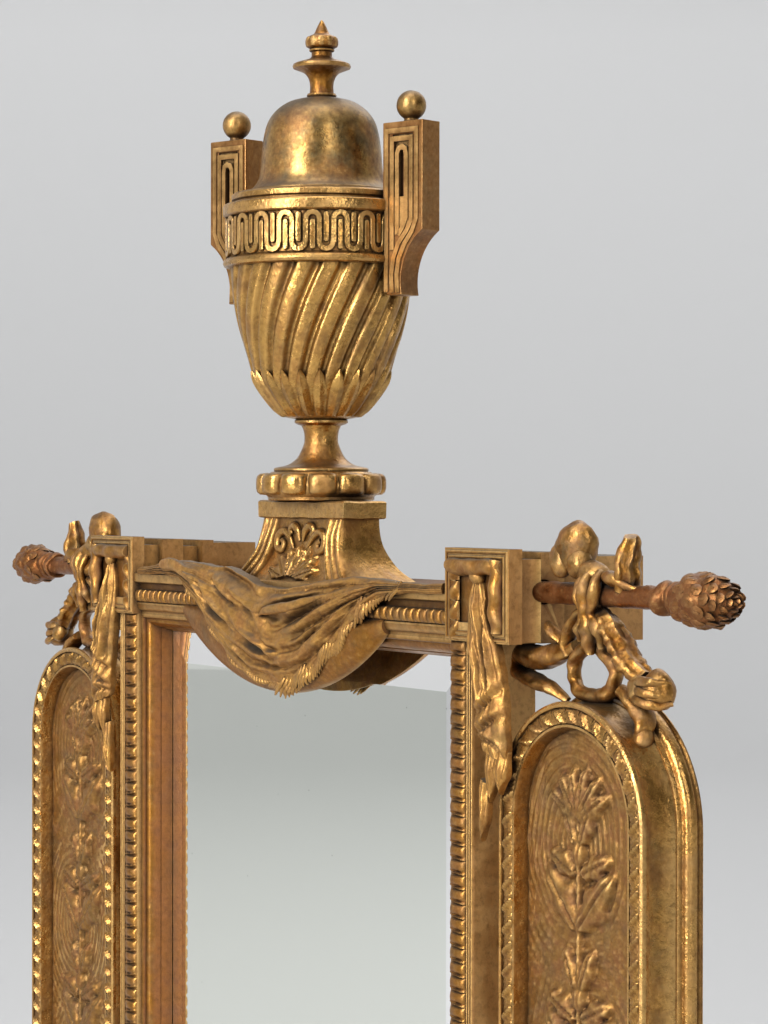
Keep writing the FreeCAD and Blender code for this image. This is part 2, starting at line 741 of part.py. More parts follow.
batten_low = rail_top - s.batten_tall
hanger_y = (-s.hanger_from_wall - s.hanger_deep, -s.hanger_from_wall)
pin_y = (hanger_y[0] + hanger_y[1]) / 2
plate_low = batten_low - s.hanger_thick
pin_z = plate_low - s.lug_drop
lug_inner = s.barrel_half + s.seat_gap
hanger_screw_x = (lug_inner + s.lug_thick + s.hanger_half) / 2


def hanger_screw_pegs(name, clearance):
    """Shanks of the two screws that hold the hanger plate."""
    pieces = []
    for side, sign in SIDES:
        pieces.append(screw_shank(f"{name}_{side}", sign * hanger_screw_x, pin_y, plate_low,
                                  s.hanger_thick + s.screw_bite, clearance, FreeCAD.Rotation()))
    return pieces


batten_bar = box("batten_bar", (-rail_half, rail_half), (back_y, ZERO), (batten_low, rail_top))
batten_holes = batten_screws("batten_screw_hole", s.long_screw_radius + s.fit_gap,
                             s.long_head_radius + s.fit_gap, s.long_head_sunk)
batten_holes += hanger_screw_pegs("batten_hanger_hole", s.fit_gap)
node("hanging_batten", cut("hanging_batten", batten_bar, batten_holes))
node("batten_screws", together("batten_screws", batten_screws(
    "batten_screw", s.long_screw_radius, s.long_head_radius, s.long_head_tall)), 2)

hanger_plate = box("hanger_flat", (-s.hanger_half, s.hanger_half), hanger_y, (plate_low, batten_low))
lugs = []
for side, sign in SIDES:
    lugs.append(box(f"hanger_lug_{side}", span(lug_inner, lug_inner + s.lug_thick, sign),
                    (pin_y - s.lug_half, pin_y + s.lug_half), (pin_z - s.lug_half, plate_low)))
pin_length = 2 * (lug_inner + s.lug_thick)
pin_hole = peg("hanger_pin_hole", s.pin_radius + s.fit_gap, pin_length, -pin_length / 2, pin_y, pin_z, ALONG_X)
node("hanger_plate", cut("hanger_plate", fuse("hanger_body", [hanger_plate] + lugs),
                         [pin_hole] + hanger_screw_pegs("hanger_hole", s.fit_gap)))
node("hanger_pin", peg("hanger_pin", s.pin_radius, pin_length, -pin_length / 2, pin_y, pin_z, ALONG_X))
node("hanger_screws", together("hanger_screws", [
    fuse(f"hanger_screw_{side}", [
        shank,
        peg(f"hanger_screw_head_{side}", s.screw_head_radius, s.screw_head_tall, sign * hanger_screw_x, pin_y,
            plate_low, AGAINST_Z),
    ])
    for (side, sign), shank in zip(SIDES, hanger_screw_pegs("hanger_screw_shank", ZERO))
]), 2)

eye_z = pin_z - s.eye_drop
barrel = peg("eye_barrel", s.barrel_radius, 2 * s.barrel_half, -s.barrel_half, pin_y, pin_z, ALONG_X)
eye_y = (pin_y - s.eye_thick / 2, pin_y + s.eye_thick / 2)
eye_disc = peg("eye_disc", s.eye_radius, s.eye_thick, ZERO, eye_y[0], eye_z, ALONG_Y)
eye_neck = box("eye_neck", (-s.barrel_half, s.barrel_half), eye_y, (eye_z, pin_z))
eye_holes = [
    peg("eye_pin_hole", s.pin_radius + s.fit_gap, 2 * s.barrel_half, -s.barrel_half, pin_y, pin_z, ALONG_X),
    peg("eye_hook_hole", s.eye_hole_radius, s.eye_thick, ZERO, eye_y[0], eye_z, ALONG_Y),
]
node("hanging_eye", cut("hanging_eye", fuse("eye_body", [barrel, eye_disc, eye_neck]), eye_holes))


# Tongue below the rail and the swag over it

tongue_round = (s.lunette_half * s.lunette_half + s.lunette_drop * s.lunette_drop) / (2 * s.lunette_drop)
tongue = [
    (s.lunette_half, ear_low, tongue_round),
    (-s.lunette_half, ear_low),
    (ZERO, ear_low - s.lunette_drop, tongue_round),
]
node("lunette", front_plate("lunette", moulding_y, sight_y, [tongue]))


def folded_section(points):
    """A closed wire: a straight back between the ends of a row of points, and a round fold between each two."""
    edges = [Part.makeLine(points[-1], points[0])]
    for start, end in zip(points, points[1:]):
        ridge = FreeCAD.Vector(0, -FOLD_RISE_SHARE * (end - start).Length, 0)
        edges.append(Part.Arc(start, (start + end) * 0.5 + ridge, end).toShape())
    return Part.Wire(edges)


def swag_shape():
    """Cloth hung between two gathers, its folds running from one to the other."""
    sections = []
    for share in SWAG_PLACE_SHARES:
        fall = 1 - share * share
        top = ear_top.value - s.swag_top_drop.value - s.swag_top_sag.value * fall
        low_sag = s.swag_low_sag.value - s.swag_gather.value
        tall = s.swag_gather.value + (low_sag - s.swag_top_sag.value) * fall
        deep = s.swag_deep.value * (1 + fall) / 2 * SWAG_BODY_SHARE
        points = []
        for fold in SWAG_FOLD_SHARES:
            stand = deep * math.sin(math.pi * fold)
            points.append(FreeCAD.Vector(share * s.swag_half.value, moulding_y.value - stand, top - tall * fold))
        sections.append(folded_section(points))
    return Part.makeLoft(sections, True, True)


swag = doc.addObject("Part::Feature", "swag")
swag.Shape = swag_shape()
node("swag", swag)


def tail_shape(sign):
    """Cloth hanging from a knot on a corner block, its folds upright."""
    middle = half_width.value - s.tail_from_edge.value
    sections = []
    for share in TAIL_PLACE_SHARES:
        half = s.tail_top_half.value + (s.tail_low_half.value - s.tail_top_half.value) * share
        z = ear_top.value - s.tail_drop.value - s.tail_length.value * share
        points = []
        for fold in TAIL_FOLD_SHARES:
            stand = s.tail_deep.value * TAIL_BODY_SHARE * math.cos(math.pi / 2 * fold)
            points.append(FreeCAD.Vector(sign * middle + fold * half, front_y.value - stand, z))
        sections.append(folded_section(points))
    return Part.makeLoft(sections, True, False)


for side, sign in SIDES:
    tail = doc.addObject("Part::Feature", f"drape_tail_{side}")
    tail.Shape = tail_shape(sign)
    node(f"drape_tail_{side}", tail)


# Wings: an arched frame with a ledge, a relief panel against the ledge and a back plate

def arch(sign, half, low):
    """Outline with a straight foot and a half round top about the wing's axis."""
    x = sign * wing_x
    return [
        (x - half, low), (x + half, low), (x + half, wing_spring), (x, wing_spring + half, half),
        (x - half, wing_spring, half),
    ]


ring_y = front_y + s.ring_set
ring_back = ring_y + s.ring_deep
panel_y = front_y + s.panel_set
wing_back = ring_back + s.wing_plate_thick
ring_wall = s.ring_outer - s.ring_inner
rebate_half = s.ring_inner + s.ring_rebate


def strap_screws(name, sign, upper, clearance=None):
    """The screws of one strap, into the stile and into the back plate, or the holes for them."""
    z = strap_height(upper)
    y = back_y + s.strap_thick
    ends = (
        ("stile", stile_mid, s.strap_thick + s.screw_bite),
        ("wing", strap_plate_x, s.strap_thick + s.wing_plate_thick * WING_BITE_SHARE),
    )
    if clearance is None:
        return [headed_screw(f"{name}_{end}", sign * x, y, z, length) for end, x, length in ends]
    return [screw_shank(f"{name}_{end}", sign * x, y, z, length, clearance) for end, x, length in ends]


straps = []
strap_screw_group = []
for side, sign in SIDES:
    outer = front_plate(f"wing_ring_{side}", ring_y, ring_back, [
        arch(sign, s.ring_outer, wing_low), arch(sign, s.ring_inner, wing_low + ring_wall)])
    rebate = front_plate(f"wing_rebate_{side}", panel_y, ring_back, [
        arch(sign, rebate_half, wing_low + ring_wall - s.ring_rebate)])
    node(f"wing_frame_{side}", cut(f"wing_frame_{side}", outer, [rebate]))
    node(f"relief_panel_{side}", front_plate(f"relief_panel_{side}", panel_y, ring_back, [
        arch(sign, rebate_half - s.panel_gap, wing_low + ring_wall - s.ring_rebate + s.panel_gap)]))
    plate = front_plate(f"wing_plate_{side}_blank", ring_back, wing_back, [
        arch(sign, plate_half, wing_low - s.wing_plate_lip)])
    holes = []
    for level, upper in LEVELS:
        z = strap_height(upper)
        blank = box(f"strap_{level}_{side}", span(rail_half + s.edge_gap, wing_x - plate_half + s.strap_reach, sign),
                    (back_y, back_y + s.strap_thick), (z - s.strap_tall / 2, z + s.strap_tall / 2))
        room = strap_screws(f"strap_hole_{level}_{side}", sign, upper, s.fit_gap)
        straps.append(cut(f"wing_strap_{level}_{side}", blank, room))
        strap_screw_group += strap_screws(f"strap_screw_{level}_{side}", sign, upper)
        holes.append(strap_screws(f"wing_hole_{level}_{side}", sign, upper, s.fit_gap)[1])
    node(f"wing_plate_{side}", cut(f"wing_plate_{side}", plate, holes))
node("wing_straps", together("wing_straps", straps), len(straps))
node("wing_strap_screws", together("wing_strap_screws", strap_screw_group), len(strap_screw_group))


# Rods out of the upper corner blocks, with a pine cone on each end and a ribbon bow

rod_length = s.rod_sink + s.rod_reach + s.cone_socket
thick_z = s.cone_length * CONE_THICK_SHARE
collar_z = s.cone_length * CONE_COLLAR_SHARE
socket = s.rod_radius + s.fit_gap
cone_outline = [
    (socket, ZERO), (s.cone_collar_radius, ZERO), (s.cone_collar_radius, collar_z),
    (s.cone_radius, thick_z, s.cone_round), (s.cone_tip_radius, s.cone_length, s.cone_round),
    (ZERO, s.cone_length), (ZERO, s.cone_socket), (socket, s.cone_socket),
]


def loop_outline(length, half):
    """A ribbon loop from the knot out: two straight runs and a round end."""
    shoulder = length - half
    return [
        (ZERO, -half / 3), (shoulder, -half), (length, ZERO, half), (shoulder, half, half), (ZERO, half / 3),
    ]


def ribbon_loop(name, length, half, x, z, lean):
    """One loop of the ribbon, leaning by an angle about the rod's cross axis."""
    inner = loop_outline(length - 2 * s.bow_thick, half - s.bow_thick)
    inner = [(p[0] + s.bow_thick,) + tuple(p[1:]) for p in inner]
    loop = padded(name, "XZ_Plane", -s.bow_deep / 2, s.bow_deep, [loop_outline(length, half), inner])
    turn = FreeCAD.Rotation(FreeCAD.Vector(0, 1, 0), -lean)
    return place(loop, x, rod_y, z, turn)


# Angle of each ribbon loop, in degrees up from +X
BOW_LEAN_ANGLES = (("upper_right", 34), ("upper_left", 132), ("lower_right", -46), ("lower_left", -130))
for side, sign in SIDES:
    start, _ = span(half_width - s.rod_sink, half_width - s.rod_sink + rod_length, sign)
    node(f"bow_rod_{side}", peg(f"bow_rod_{side}", s.rod_radius, rod_length, start, rod_y, rod_z, ALONG_X))
    cone = turned(f"pinecone_{side}", cone_outline)
    node(f"pinecone_{side}", place(cone, sign * (half_width + s.rod_reach), rod_y, rod_z,
                                   ALONG_X if sign > 0 else AGAINST_X))
    name = f"ribbon_bow_{side}"
    loops = []
    for where, lean in BOW_LEAN_ANGLES:
        upper = where.startswith("upper")
        length = s.bow_upper_length if upper else s.bow_lower_length
        half = s.bow_upper_half if upper else s.bow_lower_half
        loops.append(ribbon_loop(f"{name}_{where}", length, half, sign * wing_x, rod_z, lean))
    knot_start, _ = span(wing_x - s.bow_knot_half, wing_x + s.bow_knot_half, sign)
    knot = peg(f"{name}_knot", s.bow_knot_radius, 2 * s.bow_knot_half, knot_start, rod_y, rod_z, ALONG_X)
    bore_start, _ = span(wing_x - s.bow_lower_length, wing_x + s.bow_lower_length, sign)
    bore = peg(f"{name}_bore", s.rod_radius + s.fit_gap, 2 * s.bow_lower_length, bore_start, rod_y, rod_z, ALONG_X)
    node(name, cut(name, fuse(f"{name}_ribbon", loops + [knot]), [bore]))


# Pedestal: the shape common to a front outline and a side outline

def pedestal_outline(middle, slab_half, foot_half):
    """Half slab, hollow flank and straight foot, mirrored about the middle."""
    waist = slab_half - s.waist_inset
    foot_top = rail_top + s.pedestal_foot_tall
    under = slab_top - s.slab_tall
    cove = -s.pedestal_cove
    return [
        (middle - foot_half, rail_top), (middle + foot_half, rail_top), (middle + foot_half, foot_top),
        (middle + waist, under, cove), (middle + slab_half, under), (middle + slab_half, slab_top),
        (middle - slab_half, slab_top), (middle - slab_half, under), (middle - waist, under),
        (middle - foot_half, foot_top, cove),
    ]


foot_y = s.pedestal_foot_depth
pedestal_front = front_plate("pedestal_front", urn_y - foot_y, urn_y + foot_y, [
    pedestal_outline(ZERO, s.slab_half_width, s.pedestal_foot_half)])
pedestal_side = padded("pedestal_side", "YZ_Plane", -s.pedestal_foot_half, 2 * s.pedestal_foot_half, [
    pedestal_outline(urn_y, s.slab_half_depth, foot_y)])
pedestal_solid = doc.addObject("Part::MultiCommon", "pedestal_solid")
pedestal_solid.Shapes = [pedestal_front, pedestal_side]
node("pedestal", cut("pedestal", pedestal_solid, [
    tie_hole("pedestal_tie_hole", s.tie_radius + s.tie_room, rail_top, slab_top)]))


# Urn: turned castings on a tie rod, all turned a little about the urn's axis

tie_bore = s.tie_radius + s.tie_room
urn_rotation = FreeCAD.Rotation(FreeCAD.Vector(0, 0, 1), s.urn_turn.value)


def on_urn(thing, z):
    """Sets a piece on the urn's axis at a height."""
    place(thing, ZERO, urn_y, z, urn_rotation)
    return thing


lobe_low = s.flange_tall
lobe_high = s.flange_tall + s.lobe_tall
lobe_inner = s.lobe_radius - s.lobe_tall / 2
node("lobed_ring", on_urn(turned("lobed_ring", [
    (tie_bore, ZERO), (s.flange_radius, ZERO), (s.flange_radius, lobe_low),
    (s.lobe_radius, lobe_low + s.lobe_tall / 2, s.lobe_round), (lobe_inner, lobe_high, s.lobe_round),
    (tie_bore, lobe_high),
]), slab_top))

foot_base = slab_top + lobe_high
ring_low = s.foot_tall - s.stem_ring_tall
node("urn_foot", on_urn(turned("urn_foot", [
    (tie_bore, ZERO), (s.foot_disc_radius, ZERO), (s.foot_disc_radius, s.foot_disc_tall),
    (s.stem_radius, s.stem_height, -s.foot_cove), (s.stem_radius, ring_low), (s.stem_ring_radius, ring_low),
    (s.stem_ring_radius, s.foot_tall), (tie_bore, s.foot_tall),
]), foot_base))

bowl_base = foot_base + s.foot_tall
node("urn_bowl", on_urn(turned("urn_bowl", [
    (tie_bore, ZERO), (s.stem_ring_radius, ZERO), (s.bowl_low_radius, s.bowl_low_tall, s.bowl_low_round),
    (s.bowl_radius, s.bowl_tall, s.bowl_round), (s.bowl_radius - s.shell, s.bowl_tall),
    (s.bowl_low_radius - s.shell, s.bowl_low_tall), (s.stem_ring_radius - s.shell / 2, s.shell), (tie_bore, s.shell),
]), bowl_base))

band_base = bowl_base + s.bowl_tall
band_inner = s.bowl_radius - s.shell
rim_high = s.band_tall + s.rim_tall
node("urn_band", on_urn(turned("urn_band", [
    (band_inner, ZERO), (s.band_radius, ZERO), (s.band_radius, s.band_tall), (s.rim_radius, s.band_tall),
    (s.rim_radius, rim_high), (s.dome_radius, rim_high), (s.dome_radius, s.band_tall), (band_inner, s.band_tall),
]), band_base))

lid_base = band_base + rim_high
dome_inner = s.dome_radius - s.shell
node("urn_lid", on_urn(turned("urn_lid", [
    (dome_inner, ZERO), (s.lid_radius, ZERO), (s.dome_radius, s.lid_flare_tall, -s.lid_cove),
    (s.dome_radius, s.dome_side_tall), (s.lid_neck_radius, s.lid_tall, s.dome_round), (tie_bore, s.lid_tall),
    (tie_bore, s.lid_tall - s.shell), (dome_inner, s.dome_side_tall),
]), lid_base))

finial_base = lid_base + s.lid_tall
stem_z = s.finial_tall * FINIAL_STEM_SHARE
disc_z = s.finial_tall * FINIAL_DISC_LOW_SHARE
disc_top_z = s.finial_tall * FINIAL_DISC_TOP_SHARE
neck_z = s.finial_tall * FINIAL_NECK_SHARE
bud_z = s.finial_tall * FINIAL_BUD_SHARE
tip_z = s.finial_tall * FINIAL_TIP_SHARE
finial_bore = s.tie_radius + s.fit_gap
node("finial", on_urn(turned("finial", [
    (finial_bore, ZERO), (s.lid_neck_radius, ZERO), (s.finial_stem_radius, stem_z), (s.finial_disc_radius, disc_z),
    (s.finial_disc_radius, (disc_z + disc_top_z) / 2), (s.finial_stem_radius, disc_top_z),
    (s.finial_stem_radius, neck_z), (s.finial_bud_radius, bud_z), (s.finial_stem_radius / 2, tip_z),
    (ZERO, s.finial_tall), (ZERO, s.tie_in_finial), (finial_bore, s.tie_in_finial),
]), finial_base))

tie_low = ear_low + s.nut_sunk - s.nut_tall
tie_high = finial_base + s.tie_in_finial
node("tie_rod", on_urn(peg("tie_rod", s.tie_radius, tie_high - tie_low, ZERO, ZERO, ZERO), tie_low))
nut_blank = doc.addObject("Part::Prism", "nut_blank")
nut_blank.Polygon = 6
bind(nut_blank, "Circumradius", s.nut_radius)
bind(nut_blank, "Height", s.nut_tall)
on_urn(nut_blank, tie_low)
nut_hole = tie_hole("nut_hole", s.tie_radius + s.fit_gap, tie_low, tie_low + s.nut_tall)
node("tie_nut", cut("tie_nut", nut_blank, [nut_hole]))


# Handles: an upright bar with a sunk panel, a scroll under it and a ball on top

bar_low = band_base + s.handle_lift
bar_top = bar_low + s.handle_tall
scroll_low = bar_low - s.scroll_drop
seat_radius = s.band_radius + s.fit_gap
for side, sign in SIDES:
    inner = s.handle_inner
    outer = s.handle_inner + s.handle_width
    scroll_outer = inner + s.scroll_width
    curve = -s.scroll_round if sign > 0 else s.scroll_round
    outline = [
        (sign * inner, scroll_low), (sign * scroll_outer, scroll_low), (sign * outer, bar_low, curve),
        (sign * outer, bar_top), (sign * inner, bar_top),
    ]
    bar = front_plate(f"handle_{side}_bar", -s.handle_half, s.handle_half, [outline])
    seat = peg(f"handle_{side}_seat", seat_radius, s.band_tall + s.scroll_drop, ZERO, ZERO,
               band_base - s.scroll_drop)
    panels = []
    slot_rise = (bar_low + s.slot_border, bar_top - s.slot_border)
    slot_span = span(inner + s.slot_border, outer - s.slot_border, sign)
    for face, depth in (("front", (-s.handle_half, s.slot_deep - s.handle_half)),
                        ("back", (s.handle_half - s.slot_deep, s.handle_half))):
        panels.append(box(f"handle_{side}_{face}", slot_span, depth, slot_rise))
    handle = cut(f"handle_{side}", bar, [seat] + panels)
    node(f"handle_{side}", on_urn(handle, ZERO))
    ball = doc.addObject("Part::Sphere", f"handle_ball_{side}_round")
    bind(ball, "Radius", s.ball_radius)
    ball_x = sign * (inner + outer) / 2
    place(ball, ball_x, ZERO, bar_top + s.ball_neck_tall + s.ball_radius)
    neck = peg(f"handle_ball_{side}_neck", s.ball_neck_radius, s.ball_neck_tall + s.ball_radius, ball_x, ZERO, bar_top)
    node(f"handle_ball_{side}", on_urn(fuse(f"handle_ball_{side}", [ball, neck]), ZERO))


# Check every object, then write every sub-part

doc.recompute()
for thing in doc.Objects:
    if {"Invalid", "Error"} & set(thing.State):
        raise RuntimeError(f"{thing.Label} failed: {thing.State}")
for label, (thing, solids) in nodes.items():
    shape = thing.Shape
    if shape.isNull() or not shape.isValid() or len(shape.Solids) != solids:
        raise RuntimeError(f"{label} has a bad shape: {len(shape.Solids)} solids of {solids}")

os.makedirs("parts", exist_ok=True)
for label, (thing, _) in nodes.items():
    thing.Shape.exportStep(f"parts/{label}.step")
print(f"{len(nodes)} sub-parts written")
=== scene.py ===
"""Gilt bronze wall mirror: carved mouldings, cast drapery, a lidded urn and arched relief panels.

Sizes inside the builders are millimetres in the part's own frame: X to the right, -Y to the front, Z up.
"""
import math

import bmesh
import bpy
import numpy as np
from mathutils import Matrix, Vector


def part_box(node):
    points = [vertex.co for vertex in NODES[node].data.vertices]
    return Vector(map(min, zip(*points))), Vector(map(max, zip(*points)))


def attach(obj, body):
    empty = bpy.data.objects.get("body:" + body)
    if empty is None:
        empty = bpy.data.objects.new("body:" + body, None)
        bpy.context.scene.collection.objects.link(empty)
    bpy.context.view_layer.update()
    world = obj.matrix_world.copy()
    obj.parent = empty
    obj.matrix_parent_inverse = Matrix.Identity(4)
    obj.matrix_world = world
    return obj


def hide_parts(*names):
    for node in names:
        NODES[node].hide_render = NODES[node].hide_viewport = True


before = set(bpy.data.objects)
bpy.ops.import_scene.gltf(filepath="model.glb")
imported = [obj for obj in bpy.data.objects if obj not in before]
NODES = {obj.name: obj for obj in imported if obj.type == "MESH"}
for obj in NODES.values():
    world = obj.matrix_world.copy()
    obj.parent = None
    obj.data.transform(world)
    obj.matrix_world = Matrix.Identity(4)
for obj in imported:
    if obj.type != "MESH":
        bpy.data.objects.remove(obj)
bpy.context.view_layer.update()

bl_info = {
    "name": "Gilt bronze wall mirror",
    "version": (1, 0, 0),
    "blender": (4, 5, 0),
    "location": "View3D > Sidebar > Mirror",
    "description": "Dresses the frame of a wall mirror with carved, cast and turned detail",
    "category": "Add Mesh",
}

MM = 0.001
GOLDEN_ANGLE = math.pi * (3 - math.sqrt(5))
WELD = 1e-6
ROUND = 2 * math.pi


# Sizes read from the frame

def span(node):
    """Lowest and highest corner of a node, in millimetres."""
    low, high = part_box(node)
    return np.array(low) / MM, np.array(high) / MM


def mm(value):
    """Millimetres of a property."""
    return value / MM


BLOCK_LOW, BLOCK_HIGH = span("corner_block_top_right")
RAIL_LOW, RAIL_HIGH = span("top_rail")
STILE_LOW, STILE_HIGH = span("right_stile")
MIDDLE_Z = (STILE_LOW[2] + STILE_HIGH[2]) / 2
SIGHT_LOW, SIGHT_HIGH = span("sight_moulding")
WING_LOW, WING_HIGH = span("wing_frame_right")
WING_X = (WING_LOW[0] + WING_HIGH[0]) / 2
WING_HALF = (WING_HIGH[0] - WING_LOW[0]) / 2
WING_SPRING = WING_HIGH[2] - WING_HALF
PLATE_LOW, PLATE_HIGH = span("wing_plate_right")
PANEL_LOW, PANEL_HIGH = span("relief_panel_right")
LUNETTE_LOW, LUNETTE_HIGH = span("lunette")
ROD_LOW, ROD_HIGH = span("bow_rod_right")
ROD_Y = (ROD_LOW[1] + ROD_HIGH[1]) / 2
ROD_Z = (ROD_LOW[2] + ROD_HIGH[2]) / 2
URN_LOW, URN_HIGH = span("urn_band")
URN_Y = (URN_LOW[1] + URN_HIGH[1]) / 2
SLAB_LOW, SLAB_HIGH = span("pedestal")


# Settings that a user would change

def size(name, text, value):
    """A property that holds a length, given here in millimetres."""
    return bpy.props.FloatProperty(
        name=name, description=text, default=value * MM, unit="LENGTH", precision=5)


def number(name, text, value, least):
    """A property that holds a number of copies."""
    return bpy.props.IntProperty(name=name, description=text, default=value, min=least)


def turn_by(name, text, degrees):
    """A property that holds an angle, given here in degrees."""
    return bpy.props.FloatProperty(
        name=name, description=text, default=math.radians(degrees), subtype="ANGLE")


def linear(code):
    """Linear RGBA of an sRGB hex value."""
    parts = [int(code[i:i + 2], 16) / 255 for i in (1, 3, 5)]
    return [c / 12.92 if c <= 0.04045 else ((c + 0.055) / 1.055) ** 2.4 for c in parts] + [1.0]


def colour(name, text, code):
    """A property that holds a colour, given here as an sRGB hex value."""
    return bpy.props.FloatVectorProperty(
        name=name, description=text, default=linear(code), size=4, subtype="COLOR", min=0, max=1)


class MirrorCarving(bpy.types.PropertyGroup):
    """Sizes of the carved rows on the frame and the wings."""

    stile_pitch: size("Stile leaf pitch", "From leaf to leaf along a stile", 3.6)
    rail_pitch: size("Rail reed pitch", "From reed to reed along a rail", 3.1)
    block_pitch: size("Block ruffle pitch", "From ruffle to ruffle round a corner block", 4.6)
    ribbon_pitch: size("Ribbon pitch", "From turn to turn of the ribbon round an arched frame", 5.2)
    edge_round: size("Edge rounding", "Rounding of plain cast edges", 0.4)


class MirrorUrn(bpy.types.PropertyGroup):
    """Sizes of the urn's ornament."""

    flutes: number("Flutes", "Twisted flutes round the bowl", 22, 6)
    twist: turn_by("Twist", "Turn of a flute from foot to brim", 40)
    flute_depth: size("Flute depth", "Depth of a flute", 1.5)
    waves: number("Waves", "Waves of the frieze round the band", 22, 6)
    lobes: number("Lobes", "Lobes round the ring under the urn", 12, 4)
    lean: turn_by("Turn of the urn", "Turn of the handles to the right and back", 16)


class MirrorDrapery(bpy.types.PropertyGroup):
    """Sizes of the cast drapery and the ribbons."""

    folds: number("Folds", "Folds of the swag", 6, 2)
    fringe_pitch: size("Fringe pitch", "From strand to strand of the fringe", 1.5)
    fringe_drop: size("Fringe drop", "Length of a strand", 3.6)
    ribbon_width: size("Ribbon width", "Width of a bow's ribbon", 9.5)
    cone_scales: number("Cone scales", "Scales of a pine cone", 58, 8)


class MirrorFinish(bpy.types.PropertyGroup):
    """Colours of the finishes."""

    gold: colour("Gilding", "Gilding where it is whole", "#C3914C")
    # Worn edge colour: bright metal of real abrasion, also laid on edges as a painted highlight.
    worn_and_highlight: colour("Worn edge", "Bright metal on rubbed edges", "#E8BC76")
    # Hollow colour: patina in the hollows, laid on by an ambient-occlusion mask, so it is also painted shade
    # in recesses.
    hollow: colour("Hollow", "Patina that gathers in hollows", "#2A190C")
    tarnish: colour("Tarnish", "Brown tarnish in patches", "#744620")
    speck: colour("Speck", "Small dark specks", "#573416")
    # Flank colour: unburnished side faces, and painted shade on faces turned to the sides. The handles use
    # it as their base colour.
    flank: colour("Flank", "Unburnished side faces", "#8A542C")
    dust: colour("Dust", "Grey dust on upper faces", "#544D42")
    aged: colour("Aged gilding", "Gilding of the frame, browned by age", "#A4702F")
    verdigris: colour("Verdigris", "Grey-green bloom in large patches", "#5C563E")
    # Bowl colour: a brighter copy of the gilding, painted light standing in for the bowl's highlights.
    bowl: colour("Bowl", "Brighter gilding of the fluted bowl", "#CFA058")
    lid: colour("Lid", "Paler gilding of the lid and the balls", "#B38B4E")
    russet: colour("Russet", "Reddish brown bronze of rods and cones", "#86522C")
    relief: colour("Relief", "Matt ochre of the relief panels", "#9A703A")
    wall: colour("Backdrop", "Floor and backdrop", "#E2E2E2")
    floor: colour("Floor", "Level part of the studio paper", "#BABABA")
    shade: colour("Shaded backdrop", "Backdrop behind the camera, away from the light", "#76726D")


# Meshes

def unit(vectors):
    """The same directions with a length of one."""
    return vectors / np.maximum(np.linalg.norm(vectors, axis=-1, keepdims=True), 1e-9)


def smooth_line(points, steps=6):
    """A smooth line through points of any dimension, with some steps between each two."""
    line = np.array(points, float)
    line = np.vstack([2 * line[0] - line[1], line, 2 * line[-1] - line[-2]])
    share = np.linspace(0, 1, steps, endpoint=False)[:, None]
    rows = []
    for before, start, end, after in zip(line, line[1:], line[2:], line[3:]):
        rows.append(start + 0.5 * share * (end - before + share * (
            2 * before - 5 * start + 4 * end - after + share * (3 * (start - end) + after - before))))
    return np.vstack(rows + [line[-2:-1]])


def arc(centre, radii, start, end, count):
    """Points on an ellipse's arc, angles in degrees."""
    angles = np.radians(np.linspace(start, end, count))
    return [(centre[0] + radii[0] * math.cos(a), centre[1] + radii[1] * math.sin(a)) for a in angles]


def length_of(points):
    """Length of a line of points."""
    return float(np.linalg.norm(np.diff(np.asarray(points, float), axis=0), axis=1).sum())


def ripple(x, z, grain):
    """Gentle hand-made unevenness between -1 and 1."""
    return (np.sin(x / grain + 1.7 * np.sin(z / grain * 0.7))
            + np.cos(z / grain * 1.3 + np.sin(x / grain * 0.6))) / 2


